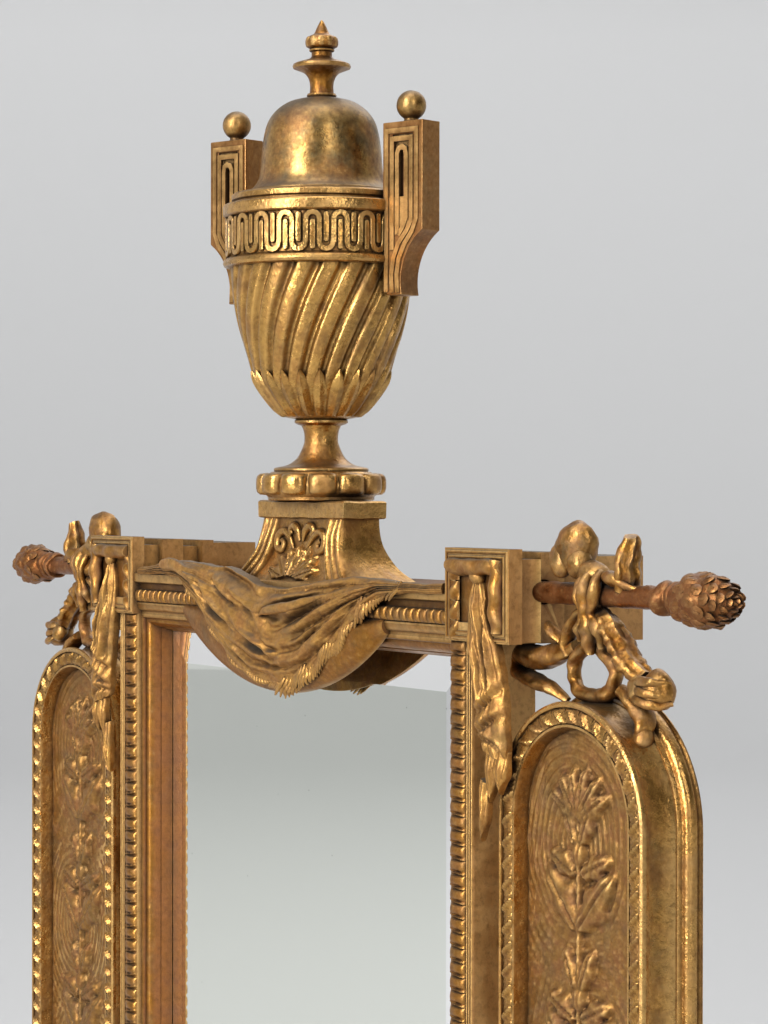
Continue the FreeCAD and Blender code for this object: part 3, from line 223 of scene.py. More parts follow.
class Shell:
    """Points and faces of one piece, gathered part by part, in millimetres."""

    def __init__(self):
        self.points = np.zeros((0, 3))
        self.faces = []

    def add(self, points, faces):
        """Takes in points, and faces that count from the first of them."""
        start = len(self.points)
        self.points = np.vstack([self.points, np.asarray(points, float).reshape(-1, 3)])
        self.faces += [tuple(start + i for i in face) for face in faces]
        return self

    def grid(self, rows, around=False, along=False, ends=False, sides=False):
        """Faces between rows of points; around closes each row, along joins the last row to the first."""
        rows = np.asarray(rows, float)
        count, width = rows.shape[:2]
        faces = []
        for i in range(count if along else count - 1):
            ahead = (i + 1) % count
            for j in range(width if around else width - 1):
                beside = (j + 1) % width
                faces.append((i * width + j, i * width + beside, ahead * width + beside, ahead * width + j))
        if ends:
            faces += [tuple(range(width))[::-1], tuple((count - 1) * width + j for j in range(width))]
        if sides:
            faces += [tuple(i * width for i in range(count)),
                      tuple(i * width + width - 1 for i in range(count))[::-1]]
        return self.add(rows, faces)

    def relief(self, rows):
        """A raised surface with a back face across its rim."""
        rows = np.asarray(rows, float)
        count, width = rows.shape[:2]
        rim = list(range(width)) + [i * width + width - 1 for i in range(1, count)]
        rim += [(count - 1) * width + j for j in range(width - 2, -1, -1)]
        rim += [i * width for i in range(count - 2, 0, -1)]
        start = len(self.points)
        self.grid(rows)
        self.faces.append(tuple(start + i for i in rim[::-1]))
        return self

    def bead(self, centre, radii, around=8, rings=5, tilt=0.0):
        """An egg shape; tilt turns it in the front plane."""
        turn = np.linspace(0, ROUND, around, endpoint=False)
        rise = np.linspace(-math.pi / 2, math.pi / 2, rings)[:, None]
        egg = np.stack([radii[0] * np.cos(rise) * np.cos(turn), radii[1] * np.cos(rise) * np.sin(turn),
                        radii[2] * np.sin(rise) * np.ones_like(turn)], -1)
        spun = egg.copy()
        spun[..., 0] = egg[..., 0] * math.cos(tilt) + egg[..., 2] * math.sin(tilt)
        spun[..., 2] = egg[..., 2] * math.cos(tilt) - egg[..., 0] * math.sin(tilt)
        return self.grid(spun + np.array(centre), around=True)

    def pillow(self, centre, half, tall, square=2.6, steps=(7, 7)):
        """A cushion-shaped boss on the front plane, half wide in X and Z."""
        across = np.sin(np.linspace(-math.pi / 2, math.pi / 2, steps[0]))
        upward = np.sin(np.linspace(-math.pi / 2, math.pi / 2, steps[1]))[:, None]
        swell = ((1 - np.abs(across) ** square) * (1 - np.abs(upward) ** square)) ** (1 / square)
        x = centre[0] + half[0] * across * (1 - 0.12 * np.abs(upward) ** 3)
        z = centre[2] + half[1] * upward * (1 - 0.12 * np.abs(across) ** 3)
        return self.relief(np.stack([x, centre[1] - tall * swell, z], -1))

    def join(self, other, shift=(0, 0, 0)):
        """Takes in another shell, moved by a shift."""
        return self.add(other.points + np.array(shift), other.faces)

    def mirrored(self, axis=0, about=0.0):
        """A copy reflected in X, or in Z about a height."""
        copy = Shell()
        points = self.points.copy()
        points[:, axis] = 2 * about - points[:, axis]
        return copy.add(points, [face[::-1] for face in self.faces])


def turned(profile, centre, steps=72, start=0.0):
    """Rows of points for a shape turned round an upright axis; profile points are (radius, height)."""
    profile = np.asarray(profile, float)
    turn = start + np.linspace(0, ROUND, steps, endpoint=False)
    x = centre[0] + profile[:, :1] * np.cos(turn)
    y = centre[1] + profile[:, :1] * np.sin(turn)
    return np.stack([x, y, np.repeat(profile[:, 1:], steps, 1)], -1)


def moulded(path, section, closed):
    """Rows of a section along a path in the front plane, mitred; its points are (right of travel, y)."""
    path = np.asarray(path, float)
    section = np.asarray(section, float)
    steps = np.diff(np.vstack([path, path[:1]]) if closed else path, axis=0)
    right = unit(np.stack([steps[:, 1], -steps[:, 0]], -1))
    before = np.roll(right, 1, 0) if closed else np.vstack([right[:1], right])
    after = right if closed else np.vstack([right, right[-1:]])
    mitre = (before + after) / (1 + np.sum(before * after, 1))[:, None]
    flat = path[:, None, :] + mitre[:, None, :] * section[None, :, :1]
    return np.stack([flat[..., 0], np.broadcast_to(section[:, 1], flat.shape[:2]), flat[..., 1]], -1)


def swept(path, section, side, scale=None):
    """Rows of a closed section carried along a path in space; its points are (along side, square to it)."""
    path = np.asarray(path, float)
    ahead = unit(np.gradient(path, axis=0))
    square = unit(np.cross(ahead, np.broadcast_to(np.asarray(side, float), path.shape)))
    across = unit(np.cross(square, ahead))
    section = np.asarray(section, float)
    grow = np.ones((len(path), 2))
    if scale is not None:
        grow = grow * np.asarray(scale, float).reshape(len(path), -1)
    return (path[:, None] + section[None, :, :1] * grow[:, None, :1] * across[:, None]
            + section[None, :, 1:] * grow[:, None, 1:] * square[:, None])


def softened(node, width, segments=2):
    """A welded copy of a CAD node with its sharp edges rounded."""
    work = bmesh.new()
    work.from_mesh(NODES[node].data)
    bmesh.ops.remove_doubles(work, verts=work.verts, dist=WELD)
    bmesh.ops.dissolve_limit(work, angle_limit=math.radians(1), verts=work.verts, edges=work.edges)
    sharp = [e for e in work.edges if len(e.link_faces) == 2 and e.calc_face_angle() > math.radians(30)]
    bmesh.ops.bevel(
        work, geom=sharp, offset=width * MM, offset_type="OFFSET", segments=segments, profile=0.5,
        affect="EDGES", clamp_overlap=True)
    work.verts.index_update()
    points = [np.array(v.co) / MM for v in work.verts]
    shell = Shell().add(points, [[v.index for v in f.verts] for f in work.faces])
    work.free()
    return shell


def piece(name, shell, finish, slot, *nodes, body="frame", crease=38):
    """Makes a shell's object, gives it its finish and its body, and hides the nodes that it stands for."""
    mesh = bpy.data.meshes.new(name)
    mesh.from_pydata((shell.points * MM).tolist(), [], shell.faces)
    work = bmesh.new()
    work.from_mesh(mesh)
    bmesh.ops.remove_doubles(work, verts=work.verts, dist=WELD)
    bmesh.ops.dissolve_degenerate(work, edges=work.edges, dist=WELD)
    bmesh.ops.recalc_face_normals(work, faces=work.faces)
    work.to_mesh(mesh)
    work.free()
    mesh.shade_smooth()
    mesh.set_sharp_from_angle(angle=math.radians(crease))
    mesh.materials.append(finish)
    made = bpy.data.objects.new(name, mesh)
    bpy.context.scene.collection.objects.link(made)
    weighed = made.modifiers.new("weighed", "WEIGHTED_NORMAL")
    weighed.keep_sharp = True
    made.data = bpy.data.meshes.new_from_object(made.evaluated_get(bpy.context.evaluated_depsgraph_get()))
    made.modifiers.remove(weighed)
    bpy.data.meshes.remove(mesh)
    made.data.name = name
    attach(made, body)
    if nodes:
        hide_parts(*nodes)
    return made


def both_sides(name, shell, finish, slot, *nodes, **options):
    """The same piece on the right and, reflected, on the left; node names end in their side."""
    for side, half in (("right", shell), ("left", shell.mirrored())):
        piece(f"{name}_{side}", half, finish, slot, *[f"{node}_{side}" for node in nodes], **options)


# Node trees

def add(tree, kind, inputs=(), **settings):
    """Adds a node with its settings; an input is a value, a socket, or a node to link from."""
    node = tree.nodes.new(kind)
    for name, value in settings.items():
        setattr(node, name, value)
    for key, value in inputs.items() if isinstance(inputs, dict) else enumerate(inputs):
        if isinstance(value, bpy.types.Node):
            value = next(out for out in value.outputs if out.enabled)
        if isinstance(value, bpy.types.NodeSocket):
            tree.links.new(value, node.inputs[key])
        else:
            node.inputs[key].default_value = value
    return node


def geometry_tree(name, sockets):
    """An empty geometry tree with named inputs; gives the tree and its input node."""
    tree = bpy.data.node_groups.new(name, "GeometryNodeTree")
    tree.is_modifier = True
    tree.interface.new_socket("Geometry", in_out="OUTPUT", socket_type="NodeSocketGeometry")
    for label, kind in [("Geometry", "Geometry"), *sockets, ("Finish", "Material")]:
        tree.interface.new_socket(label, in_out="INPUT", socket_type=f"NodeSocket{kind}")
    return tree, add(tree, "NodeGroupInput")


def close_tree(tree, geometry, given):
    """Ends a tree in real geometry with its finish."""
    real = add(tree, "GeometryNodeRealizeInstances", {"Geometry": geometry})
    done = add(tree, "GeometryNodeSetMaterial", {"Geometry": real, "Material": given.outputs["Finish"]})
    add(tree, "NodeGroupOutput", {"Geometry": done})
    return tree


def row_tree(name, pivot):
    """Copies of an ornament in equal steps along a line, turned with it about one axis."""
    tree, given = geometry_tree(name, [("Ornament", "Object"), ("Count", "Int")])
    line = add(tree, "GeometryNodeMeshToCurve", {"Mesh": given.outputs["Geometry"]})
    steps = add(tree, "GeometryNodeResampleCurve", {"Curve": line, "Count": given.outputs["Count"]},
                mode="COUNT")
    turn = add(tree, "FunctionNodeAlignRotationToVector", {"Vector": add(tree, "GeometryNodeInputTangent")},
               axis="X", pivot_axis=pivot)
    shape = add(tree, "GeometryNodeObjectInfo", {"Object": given.outputs["Ornament"]})
    copies = add(tree, "GeometryNodeInstanceOnPoints", {
        "Points": steps, "Instance": shape.outputs["Geometry"], "Rotation": turn})
    return close_tree(tree, copies, given)


def point_tree():
    """A copy of an ornament on each point, all turned alike."""
    tree, given = geometry_tree("On points", [("Ornament", "Object"), ("Turn", "Vector")])
    shape = add(tree, "GeometryNodeObjectInfo", {"Object": given.outputs["Ornament"]})
    turn = add(tree, "FunctionNodeEulerToRotation", {"Euler": given.outputs["Turn"]})
    points = add(tree, "GeometryNodeMeshToPoints", {"Mesh": given.outputs["Geometry"]})
    copies = add(tree, "GeometryNodeInstanceOnPoints", {
        "Points": points, "Instance": shape.outputs["Geometry"], "Rotation": turn})
    return close_tree(tree, copies, given)


def cone_tree():
    """Scales set round a cone at the golden angle; the line gives distances in X and radii in Z."""
    tree, given = geometry_tree("Cone scales", [
        ("Ornament", "Object"), ("Count", "Int"), ("Full radius", "Float")])
    line = add(tree, "GeometryNodeMeshToCurve", {"Mesh": given.outputs["Geometry"]})
    points = add(tree, "GeometryNodePoints", {"Count": given.outputs["Count"]})
    index = add(tree, "GeometryNodeInputIndex")
    share = add(tree, "ShaderNodeMath", [index, given.outputs["Count"]], operation="DIVIDE")
    angle = add(tree, "ShaderNodeMath", [index, GOLDEN_ANGLE], operation="MULTIPLY")
    place = add(tree, "GeometryNodeSampleCurve", {"Curves": line, "Factor": share}, mode="FACTOR",
                use_all_curves=True)
    parts = add(tree, "ShaderNodeSeparateXYZ", [place.outputs["Position"]])
    side, rise = [
        add(tree, "ShaderNodeMath", [add(tree, "ShaderNodeMath", [angle], operation=wave),
                                     parts.outputs["Z"]],
            operation="MULTIPLY") for wave in ("SINE", "COSINE")]
    back = add(tree, "ShaderNodeMath", [side, -1.0], operation="MULTIPLY")
    spot = add(tree, "ShaderNodeCombineXYZ", [parts.outputs["X"], back, rise])
    moved = add(tree, "GeometryNodeSetPosition", {"Geometry": points, "Position": spot})
    turn = add(tree, "FunctionNodeEulerToRotation", {"Euler": add(tree, "ShaderNodeCombineXYZ", [angle])})
    shape = add(tree, "GeometryNodeObjectInfo", {"Object": given.outputs["Ornament"]})
    grow = add(tree, "ShaderNodeMapRange", {
        "Value": parts.outputs["Z"], "From Max": given.outputs["Full radius"], "To Min": 0.45,
        "To Max": 1.0})
    copies = add(tree, "GeometryNodeInstanceOnPoints", {
        "Points": moved, "Instance": shape.outputs["Geometry"], "Rotation": turn, "Scale": grow})
    return close_tree(tree, copies, given)


def bowl_tree():
    """A turned bowl with twisted flutes; the line gives the radius in X and the height in Z."""
    tree, given = geometry_tree("Fluted bowl", [
        ("Flutes", "Int"), ("Twist", "Float"), ("Depth", "Float"), ("Steps round", "Int"),
        ("Steps up", "Int")])
    line = add(tree, "GeometryNodeMeshToCurve", {"Mesh": given.outputs["Geometry"]})
    sheet = add(tree, "GeometryNodeMeshGrid", {
        "Size X": 1.0, "Size Y": 1.0, "Vertices X": given.outputs["Steps round"],
        "Vertices Y": given.outputs["Steps up"]})
    parts = add(tree, "ShaderNodeSeparateXYZ", [add(tree, "GeometryNodeInputPosition")])
    turn = add(tree, "ShaderNodeMath", [parts.outputs["X"], ROUND], operation="MULTIPLY")
    share = add(tree, "ShaderNodeMath", [parts.outputs["Y"], 0.5], operation="ADD")
    place = add(tree, "GeometryNodeSampleCurve", {"Curves": line, "Factor": share}, mode="FACTOR",
                use_all_curves=True)
    sizes = add(tree, "ShaderNodeSeparateXYZ", [place.outputs["Position"]])
    rise = add(tree, "ShaderNodeMath", [share, 1.35], operation="POWER")
    lean = add(tree, "ShaderNodeMath", [rise, given.outputs["Twist"]], operation="MULTIPLY")
    swing = add(tree, "ShaderNodeMath", [turn, lean], operation="SUBTRACT")
    half = add(tree, "ShaderNodeMath", [given.outputs["Flutes"], 0.5], operation="MULTIPLY")
    phase = add(tree, "ShaderNodeMath", [swing, half], operation="MULTIPLY")
    wave = add(tree, "ShaderNodeMath", [phase], operation="COSINE")
    wave = add(tree, "ShaderNodeMath", [wave], operation="ABSOLUTE")
    crown = add(tree, "ShaderNodeMapRange", {
        "Value": wave, "From Min": 0.22, "From Max": 0.72}, interpolation_type="SMOOTHSTEP")
    crown = add(tree, "ShaderNodeMath", [crown, 0.78], operation="MULTIPLY")
    rib = add(tree, "ShaderNodeMath", [wave, 0.22, crown], operation="MULTIPLY_ADD")
    cut = add(tree, "ShaderNodeMath", [1.0, rib], operation="SUBTRACT")
    fade = add(tree, "ShaderNodeMapRange", {"Value": share, "From Min": 0.06, "From Max": 0.3})
    deep = add(tree, "ShaderNodeMath", [cut, fade], operation="MULTIPLY")
    deep = add(tree, "ShaderNodeMath", [deep, given.outputs["Depth"]], operation="MULTIPLY")
    radius = add(tree, "ShaderNodeMath", [sizes.outputs["X"], deep], operation="SUBTRACT")
    across, back = [
        add(tree, "ShaderNodeMath", [radius, add(tree, "ShaderNodeMath", [turn], operation=wave)],
            operation="MULTIPLY") for wave in ("COSINE", "SINE")]
    spot = add(tree, "ShaderNodeCombineXYZ", [across, back, sizes.outputs["Z"]])
    bent = add(tree, "GeometryNodeSetPosition", {"Geometry": sheet, "Position": spot})
    joined = add(tree, "GeometryNodeMergeByDistance", {"Geometry": bent, "Distance": 0.01 * MM})
    return close_tree(tree, joined, given)


TREES = {}


def tree_named(name):
    """One of the rules above, made the first time it is asked for."""
    if name not in TREES:
        TREES[name] = {
            "front row": lambda: row_tree("Front row", "Y"), "ring": lambda: row_tree("Ring", "Z"),
            "points": point_tree, "cone": cone_tree, "bowl": bowl_tree,
        }[name]()
    return TREES[name]


def grown(rule, line, finish, closed=False, loose=False, ornament=None, **values):
    """Runs a rule on a line of points and gives the resulting shell."""
    tree = tree_named(rule)
    line = np.asarray(line, float)
    count = len(line)
    edges = [] if loose else [(i, (i + 1) % count) for i in range(count if closed else count - 1)]
    base = bpy.data.meshes.new("line")
    base.from_pydata((line * MM).tolist(), edges, [])
    host = bpy.data.objects.new("line", base)
    helpers = [host]
    given = {name.replace("_", " "): value for name, value in values.items()}
    given["Finish"] = finish
    if ornament is not None:
        shape = bpy.data.meshes.new("ornament")
        shape.from_pydata((ornament.points * MM).tolist(), [], ornament.faces)
        given["Ornament"] = bpy.data.objects.new("ornament", shape)
        helpers.append(given["Ornament"])
    for helper in helpers:
        bpy.context.scene.collection.objects.link(helper)
    rule_on_host = host.modifiers.new("rule", "NODES")
    rule_on_host.node_group = tree
    for item in tree.interface.items_tree:
        if item.in_out == "INPUT" and item.name in given:
            rule_on_host[item.identifier] = given[item.name]
    mesh = bpy.data.meshes.new_from_object(host.evaluated_get(bpy.context.evaluated_depsgraph_get()))
    flat = np.empty(len(mesh.vertices) * 3)
    mesh.vertices.foreach_get("co", flat)
    shell = Shell().add(flat.reshape(-1, 3) / MM, [tuple(face.vertices) for face in mesh.polygons])
    host.modifiers.remove(rule_on_host)
    for helper in helpers:
        data = helper.data
        bpy.data.objects.remove(helper)
        bpy.data.meshes.remove(data)
    bpy.data.meshes.remove(mesh)
    if not shell.faces:
        raise RuntimeError(f"rule {rule} made nothing")
    return shell


def row_along(line, pitch, ornament, finish, closed=False):
    """Ornaments along a line in the front plane, at about a pitch."""
    count = round(length_of(line) / pitch) + (0 if closed else 1)
    return grown("front row", line, finish, closed=closed, ornament=ornament, Count=count)


def circle(radius, z, centre, steps=96):
    """Points round an upright axis."""
    turn = np.linspace(0, ROUND, steps, endpoint=False)
    return np.stack([centre[0] + radius * np.cos(turn), centre[1] + radius * np.sin(turn),
                     np.full(steps, z)], -1)


def ring_of(radius, z, count, ornament, finish, centre):
    """Ornaments round an upright axis; an ornament's front looks outwards."""
    return grown("ring", circle(radius, z, centre), finish, closed=True, ornament=ornament, Count=count)


# Finishes

FINISHES = {}


def new_finish(name):
    """An empty material, kept by its name; gives its tree."""
    material = bpy.data.materials.new(name)
    material.use_nodes = True
    material.node_tree.nodes.clear()
    FINISHES[name] = material
    return material.node_tree


def end_finish(tree, inputs):
    """Ends a finish in its surface."""
    shader = add(tree, "ShaderNodeBsdfPrincipled", inputs)
    add(tree, "ShaderNodeOutputMaterial", {"Surface": shader})


def cast_bronze(name, gold, rough, spot=8.0, tarnished=0.6, flank=0.0, dust=0.4, matt=0.0, wear_and_highlight=0.8,
                grain=1.0, uneven=1.0, green=0.4, reach=4.0, settle=0.6):
    """Cast and gilded bronze: warm metal, dark in the hollows from patina and painted shade, bright on edges
    from real abrasion and painted highlight, brown in patches, darker on side faces from unburnished gilding
    and painted shade.

    The eye sees soft broken highlights, because the casting skin has fine grit and old lacquer on it.
    Spot is the width of a tarnish patch and reach that of a dark hollow of patina and painted shade, in
    millimetres. The other numbers are shares: how far each kind of abrasion, dirt and painted light covers
    the gold, and from which slope on dust settles.
    """
    tint = bpy.context.scene.mirror_finish
    tree = new_finish(name)
    place = add(tree, "ShaderNodeTexCoord").outputs["Object"]
    surface = add(tree, "ShaderNodeNewGeometry")
    facing = add(tree, "ShaderNodeSeparateXYZ", [surface.outputs["Normal"]])
    patch, grit, lumps, mottle, cloud = [
        add(tree, "ShaderNodeTexNoise", {
            "Vector": place, "Scale": 1 / (wide * MM), "Detail": detail, "Roughness": fine})
        for wide, detail, fine in (
            (spot, 7.0, 0.66), (0.8, 3.0, 0.6), (2.4, 4.0, 0.5), (1.7, 5.0, 0.7), (11.0, 6.0, 0.7))]
    blotch = add(tree, "ShaderNodeMapRange", {
        "Value": patch, "From Min": 0.4, "From Max": 0.64, "To Max": tarnished,
    }, interpolation_type="SMOOTHSTEP")
    sideways = add(tree, "ShaderNodeMath", [facing.outputs["X"]], operation="ABSOLUTE")
    bright, bloom, flank_and_side_shade, rubbed_and_highlit, speck, lying = [
        add(tree, "ShaderNodeMapRange", {"Value": value, "From Min": low, "From Max": high, "To Max": most})
        for value, low, high, most in (
            # Side faces' share: unburnished gilding and painted shade.
            (mottle, 0.46, 0.25, 0.3 * grain), (cloud, 0.48, 0.68, green), (sideways, 0.8, 0.97, flank),
            # Edges' share: real abrasion and painted highlight.
            (surface.outputs["Pointiness"], 0.51, 0.64, wear_and_highlight), (mottle, 0.48, 0.78, 0.6 * grain),
            (facing.outputs["Z"], settle, 0.95, dust))]
    # Ambient occlusion finds the recesses. Their dark colour is patina and painted shade.
    shade = add(tree, "ShaderNodeAmbientOcclusion", {"Distance": reach * MM}, samples=6).outputs["AO"]
    sunk = add(tree, "ShaderNodeMapRange", {
        "Value": shade, "From Min": 0.3, "From Max": 0.95, "To Min": 0.97, "To Max": 0.0})
    colours = gold
    for share, over in ((blotch, tint.tarnish), (bright, tint.worn_and_highlight), (bloom, tint.verdigris),
                        (flank_and_side_shade, tint.flank), (rubbed_and_highlit, tint.worn_and_highlight), (speck, tint.speck),
                        (sunk, tint.hollow), (lying, tint.dust)):
        colours = add(tree, "ShaderNodeMix", {0: share, 6: colours, 7: over}, data_type="RGBA")
    dull = blotch
    for more in (sunk, lying):
        dull = add(tree, "ShaderNodeMath", [dull, more], operation="MAXIMUM")
    dulled = add(tree, "ShaderNodeMath", [flank_and_side_shade, 0.5], operation="MULTIPLY")
    metal = add(tree, "ShaderNodeMapRange", {"Value": dull, "To Min": 1.0 - matt, "To Max": 0.55 - matt})
    metal = add(tree, "ShaderNodeMath", [metal, dulled], operation="SUBTRACT", use_clamp=True)
    gloss = add(tree, "ShaderNodeMapRange", {"Value": dull, "To Min": rough, "To Max": rough + 0.3})
    gloss = add(tree, "ShaderNodeMath", [dulled, 0.4, gloss], operation="MULTIPLY_ADD")
    skin = add(tree, "ShaderNodeMath", [lumps, 2.0 * uneven, grit], operation="MULTIPLY_ADD")
    bump = add(tree, "ShaderNodeBump", {
        "Strength": 0.25 + 0.3 * uneven, "Distance": 0.22 * MM, "Height": skin})
    end_finish(tree, {"Base Color": colours, "Metallic": metal, "Roughness": gloss, "Normal": bump})


def silvered_glass():
    """Silvered plate glass: a clear, slightly green mirror with a bevel painted paler as a highlight, and a
    few specks.
    """
    tree = new_finish("silvered_glass")
    place = add(tree, "ShaderNodeTexCoord").outputs["Object"]
    spots = add(tree, "ShaderNodeTexVoronoi", {"Vector": place, "Scale": 1 / (9.0 * MM), "Randomness": 1.0})
    gone = add(tree, "ShaderNodeMapRange", {
        "Value": spots.outputs["Distance"], "From Min": 0.012, "From Max": 0.03, "To Min": 0.6,
        "To Max": 0.0})
    facing = add(tree, "ShaderNodeVectorMath", {
        0: add(tree, "ShaderNodeTexCoord").outputs["Normal"], 1: (0.0, -1.0, 0.0)}, operation="DOT_PRODUCT")
    # Painted highlight: faces turned away from the front, the bevel, get a whiter colour.
    bevel = add(tree, "ShaderNodeMapRange", {
        "Value": facing.outputs["Value"], "From Min": 0.9985, "From Max": 0.9995, "To Min": 1.0,
        "To Max": 0.0})
    plate = add(tree, "ShaderNodeMix", {0: bevel, 6: linear("#F0F3EC"), 7: linear("#FFFFFF")},
                data_type="RGBA")
    colours = add(tree, "ShaderNodeMix", {0: gone, 6: plate, 7: linear("#4A4A44")}, data_type="RGBA")
    end_finish(tree, {"Base Color": colours, "Metallic": 1.0, "Roughness": 0.02})


def aged_oak():
    """Unpolished oak: brown, dry, with long dark grain along X."""
    tree = new_finish("aged_oak")
    place = add(tree, "ShaderNodeTexCoord").outputs["Object"]
    long_way = add(tree, "ShaderNodeMapping", {"Vector": place, "Scale": (0.06, 1.0, 1.0)})
    grain = add(tree, "ShaderNodeTexNoise", {"Vector": long_way, "Scale": 1 / (1.6 * MM), "Detail": 6.0,
                                             "Roughness": 0.7})
    stain = add(tree, "ShaderNodeTexNoise", {"Vector": place, "Scale": 1 / (45 * MM), "Detail": 3.0})
    colours = add(tree, "ShaderNodeMix", {0: grain, 6: linear("#3A2414"), 7: linear("#94683C")},
                  data_type="RGBA")
    patch = add(tree, "ShaderNodeMapRange", {"Value": stain, "From Min": 0.4, "From Max": 0.7,
                                             "To Max": 0.6})
    colours = add(tree, "ShaderNodeMix", {0: patch, 6: colours, 7: linear("#4A3220")}, data_type="RGBA")
    bump = add(tree, "ShaderNodeBump", {"Strength": 0.5, "Distance": 0.3 * MM, "Height": grain})
    end_finish(tree, {"Base Color": colours, "Roughness": 0.72, "Normal": bump})


def plain_metal(name, bright, dark, rough, grain):
    """Brass or iron hardware: dull metal with darker oxide in small patches."""
    tree = new_finish(name)
    place = add(tree, "ShaderNodeTexCoord").outputs["Object"]
    patch = add(tree, "ShaderNodeTexNoise", {"Vector": place, "Scale": 1 / (grain * MM), "Detail": 6.0,
                                             "Roughness": 0.65})
    oxide = add(tree, "ShaderNodeMapRange", {"Value": patch, "From Min": 0.42, "From Max": 0.64})
    colours = add(tree, "ShaderNodeMix", {0: oxide, 6: linear(bright), 7: linear(dark)}, data_type="RGBA")
    gloss = add(tree, "ShaderNodeMapRange", {"Value": oxide, "To Min": rough, "To Max": rough + 0.3})
    metal = add(tree, "ShaderNodeMapRange", {"Value": oxide, "To Min": 1.0, "To Max": 0.75})
    bump = add(tree, "ShaderNodeBump", {"Strength": 0.3, "Distance": 0.15 * MM, "Height": patch})
    end_finish(tree, {"Base Color": colours, "Metallic": metal, "Roughness": gloss, "Normal": bump})


def make_finishes():
    """All finishes of the object: how brown, green, dusty or rough each piece is, how bright its edges are
    from real abrasion and painted highlight, and how dark its hollows and sides are from patina, unburnished
    gilding and painted shade.
    """
    tint = bpy.context.scene.mirror_finish
    cast_bronze("gilt_bronze", tint.gold, 0.22, wear_and_highlight=0.95)
    # The bowl's finish is the brighter copy: painted light for its highlights, with a narrower painted shade
    # in its flutes.
    cast_bronze("gilt_bronze_bowl_painted_light", tint.bowl, 0.22, wear_and_highlight=0.95, reach=2.5)
    # Frame and blocks: side faces darkened with the flank colour, unburnished gilding and painted shade.
    cast_bronze("gilt_bronze_frame", tint.aged, 0.3, spot=7.0, tarnished=0.6, flank=0.7, wear_and_highlight=0.6,
                uneven=0.4)
    cast_bronze("gilt_bronze_blocks", tint.aged, 0.34, flank=0.8, dust=0.95, wear_and_highlight=0.8, uneven=0.8)
    cast_bronze("gilt_bronze_handles", tint.flank, 0.3, tarnished=0.5, wear_and_highlight=0.55, uneven=0.4, green=0.3)
    cast_bronze("gilt_bronze_dome", tint.lid, 0.27, spot=13.0, tarnished=0.7, dust=0.8, grain=1.5,
                uneven=0.15, green=0.8,
                settle=0.2)
    cast_bronze("gilt_bronze_bow", tint.aged, 0.28, spot=5.0, tarnished=0.9, wear_and_highlight=0.75, green=0.65)
    cast_bronze("gilt_bronze_russet", tint.russet, 0.36, tarnished=0.75, wear_and_highlight=0.15, green=0.2)
    # Relief panels: strong edge brightening, real abrasion and painted highlight.
    cast_bronze("relief_bronze", tint.relief, 0.4, spot=5.0, tarnished=0.75, matt=0.12, wear_and_highlight=0.9, reach=2.2)
    cast_bronze("drapery_bronze", tint.gold, 0.37, spot=6.0, tarnished=0.6, dust=0.85, matt=0.06, wear_and_highlight=0.2,
                uneven=0.8)
    silvered_glass()
    aged_oak()
    plain_metal("dull_brass", "#B28B45", "#6B4A22", 0.36, 5.0)
    plain_metal("oxidised_iron", "#55504A", "#241E1A", 0.5, 2.5)


# Carved rows

def tile(pitch, half, height, steps=(13, 11)):
    """One repeat of a carved strip; height takes shares along (-0.5 to 0.5) and across (-1 to 1)."""
    along = np.linspace(-0.5, 0.5, steps[0])[None, :]
    across = np.sin(np.linspace(-math.pi / 2, math.pi / 2, steps[1]))[:, None]
    tall = height(along, across) * np.ones((steps[1], steps[0]))
    x = along * pitch * np.ones_like(across)
    return Shell().relief(np.stack([x, 0.5 - tall, half * across * np.ones_like(along)], -1))


def stile_bead(along, across):
    """A barrel bead with a slanting collar beside it."""
    round_off = np.sqrt(np.clip(1 - across ** 2, 0, 1))
    barrel = np.clip(1 - (np.abs(along + 0.12) / 0.36) ** 2.4, 0, 1) ** 0.5
    collar = np.exp(-(((along - 0.36 - 0.12 * across) / 0.07) ** 2))
    curl = np.exp(-((along - 0.3) / 0.12) ** 2 - ((across - 0.8) / 0.3) ** 2)
    fluting = 0.1 * np.cos(9 * across + 4 * along) * barrel
    return 0.3 + round_off * (0.4 + 0.95 * barrel + 0.9 * collar + fluting) + 0.5 * curl * round_off


def rail_reed(along, across):
    """An upright reed with a groove on each side."""
    round_off = np.clip(1 - across ** 2, 0, 1) ** 0.35
    return 0.2 + round_off * 1.25 * np.clip(1 - (2 * np.abs(along)) ** 2.2, 0, 1) ** 0.5


def block_ruffle(along, across):
    """A rolled leaf edge with leaning ruffles."""
    round_off = np.sqrt(np.clip(1 - across ** 2, 0, 1))
    ruffle = np.cos(ROUND * (along + 0.3 * across))
    return 0.15 + round_off * (0.9 + 0.5 * ruffle)


def ribbon_turn(along, across):
    """A slanting turn of a ribbon round a rod, and a thin edge beside it."""
    round_off = np.sqrt(np.clip(1 - across ** 2, 0, 1))
    lean = along + 0.3 * across
    lean = lean - np.round(lean)
    edge = np.abs(np.abs(lean) - 0.36)
    return 0.1 + round_off * (0.35 + 1.25 * np.exp(-(lean / 0.15) ** 2) + 0.4 * np.exp(-(edge / 0.06) ** 2))


# Frame

def half_round(start, end, y, crown, count=9):
    """A bulge across from start to end that rises from y to crown."""
    return [((start + end) / 2 + (start - end) / 2 * math.cos(t), y + (crown - y) * math.sin(t))
            for t in np.linspace(0, math.pi, count)]


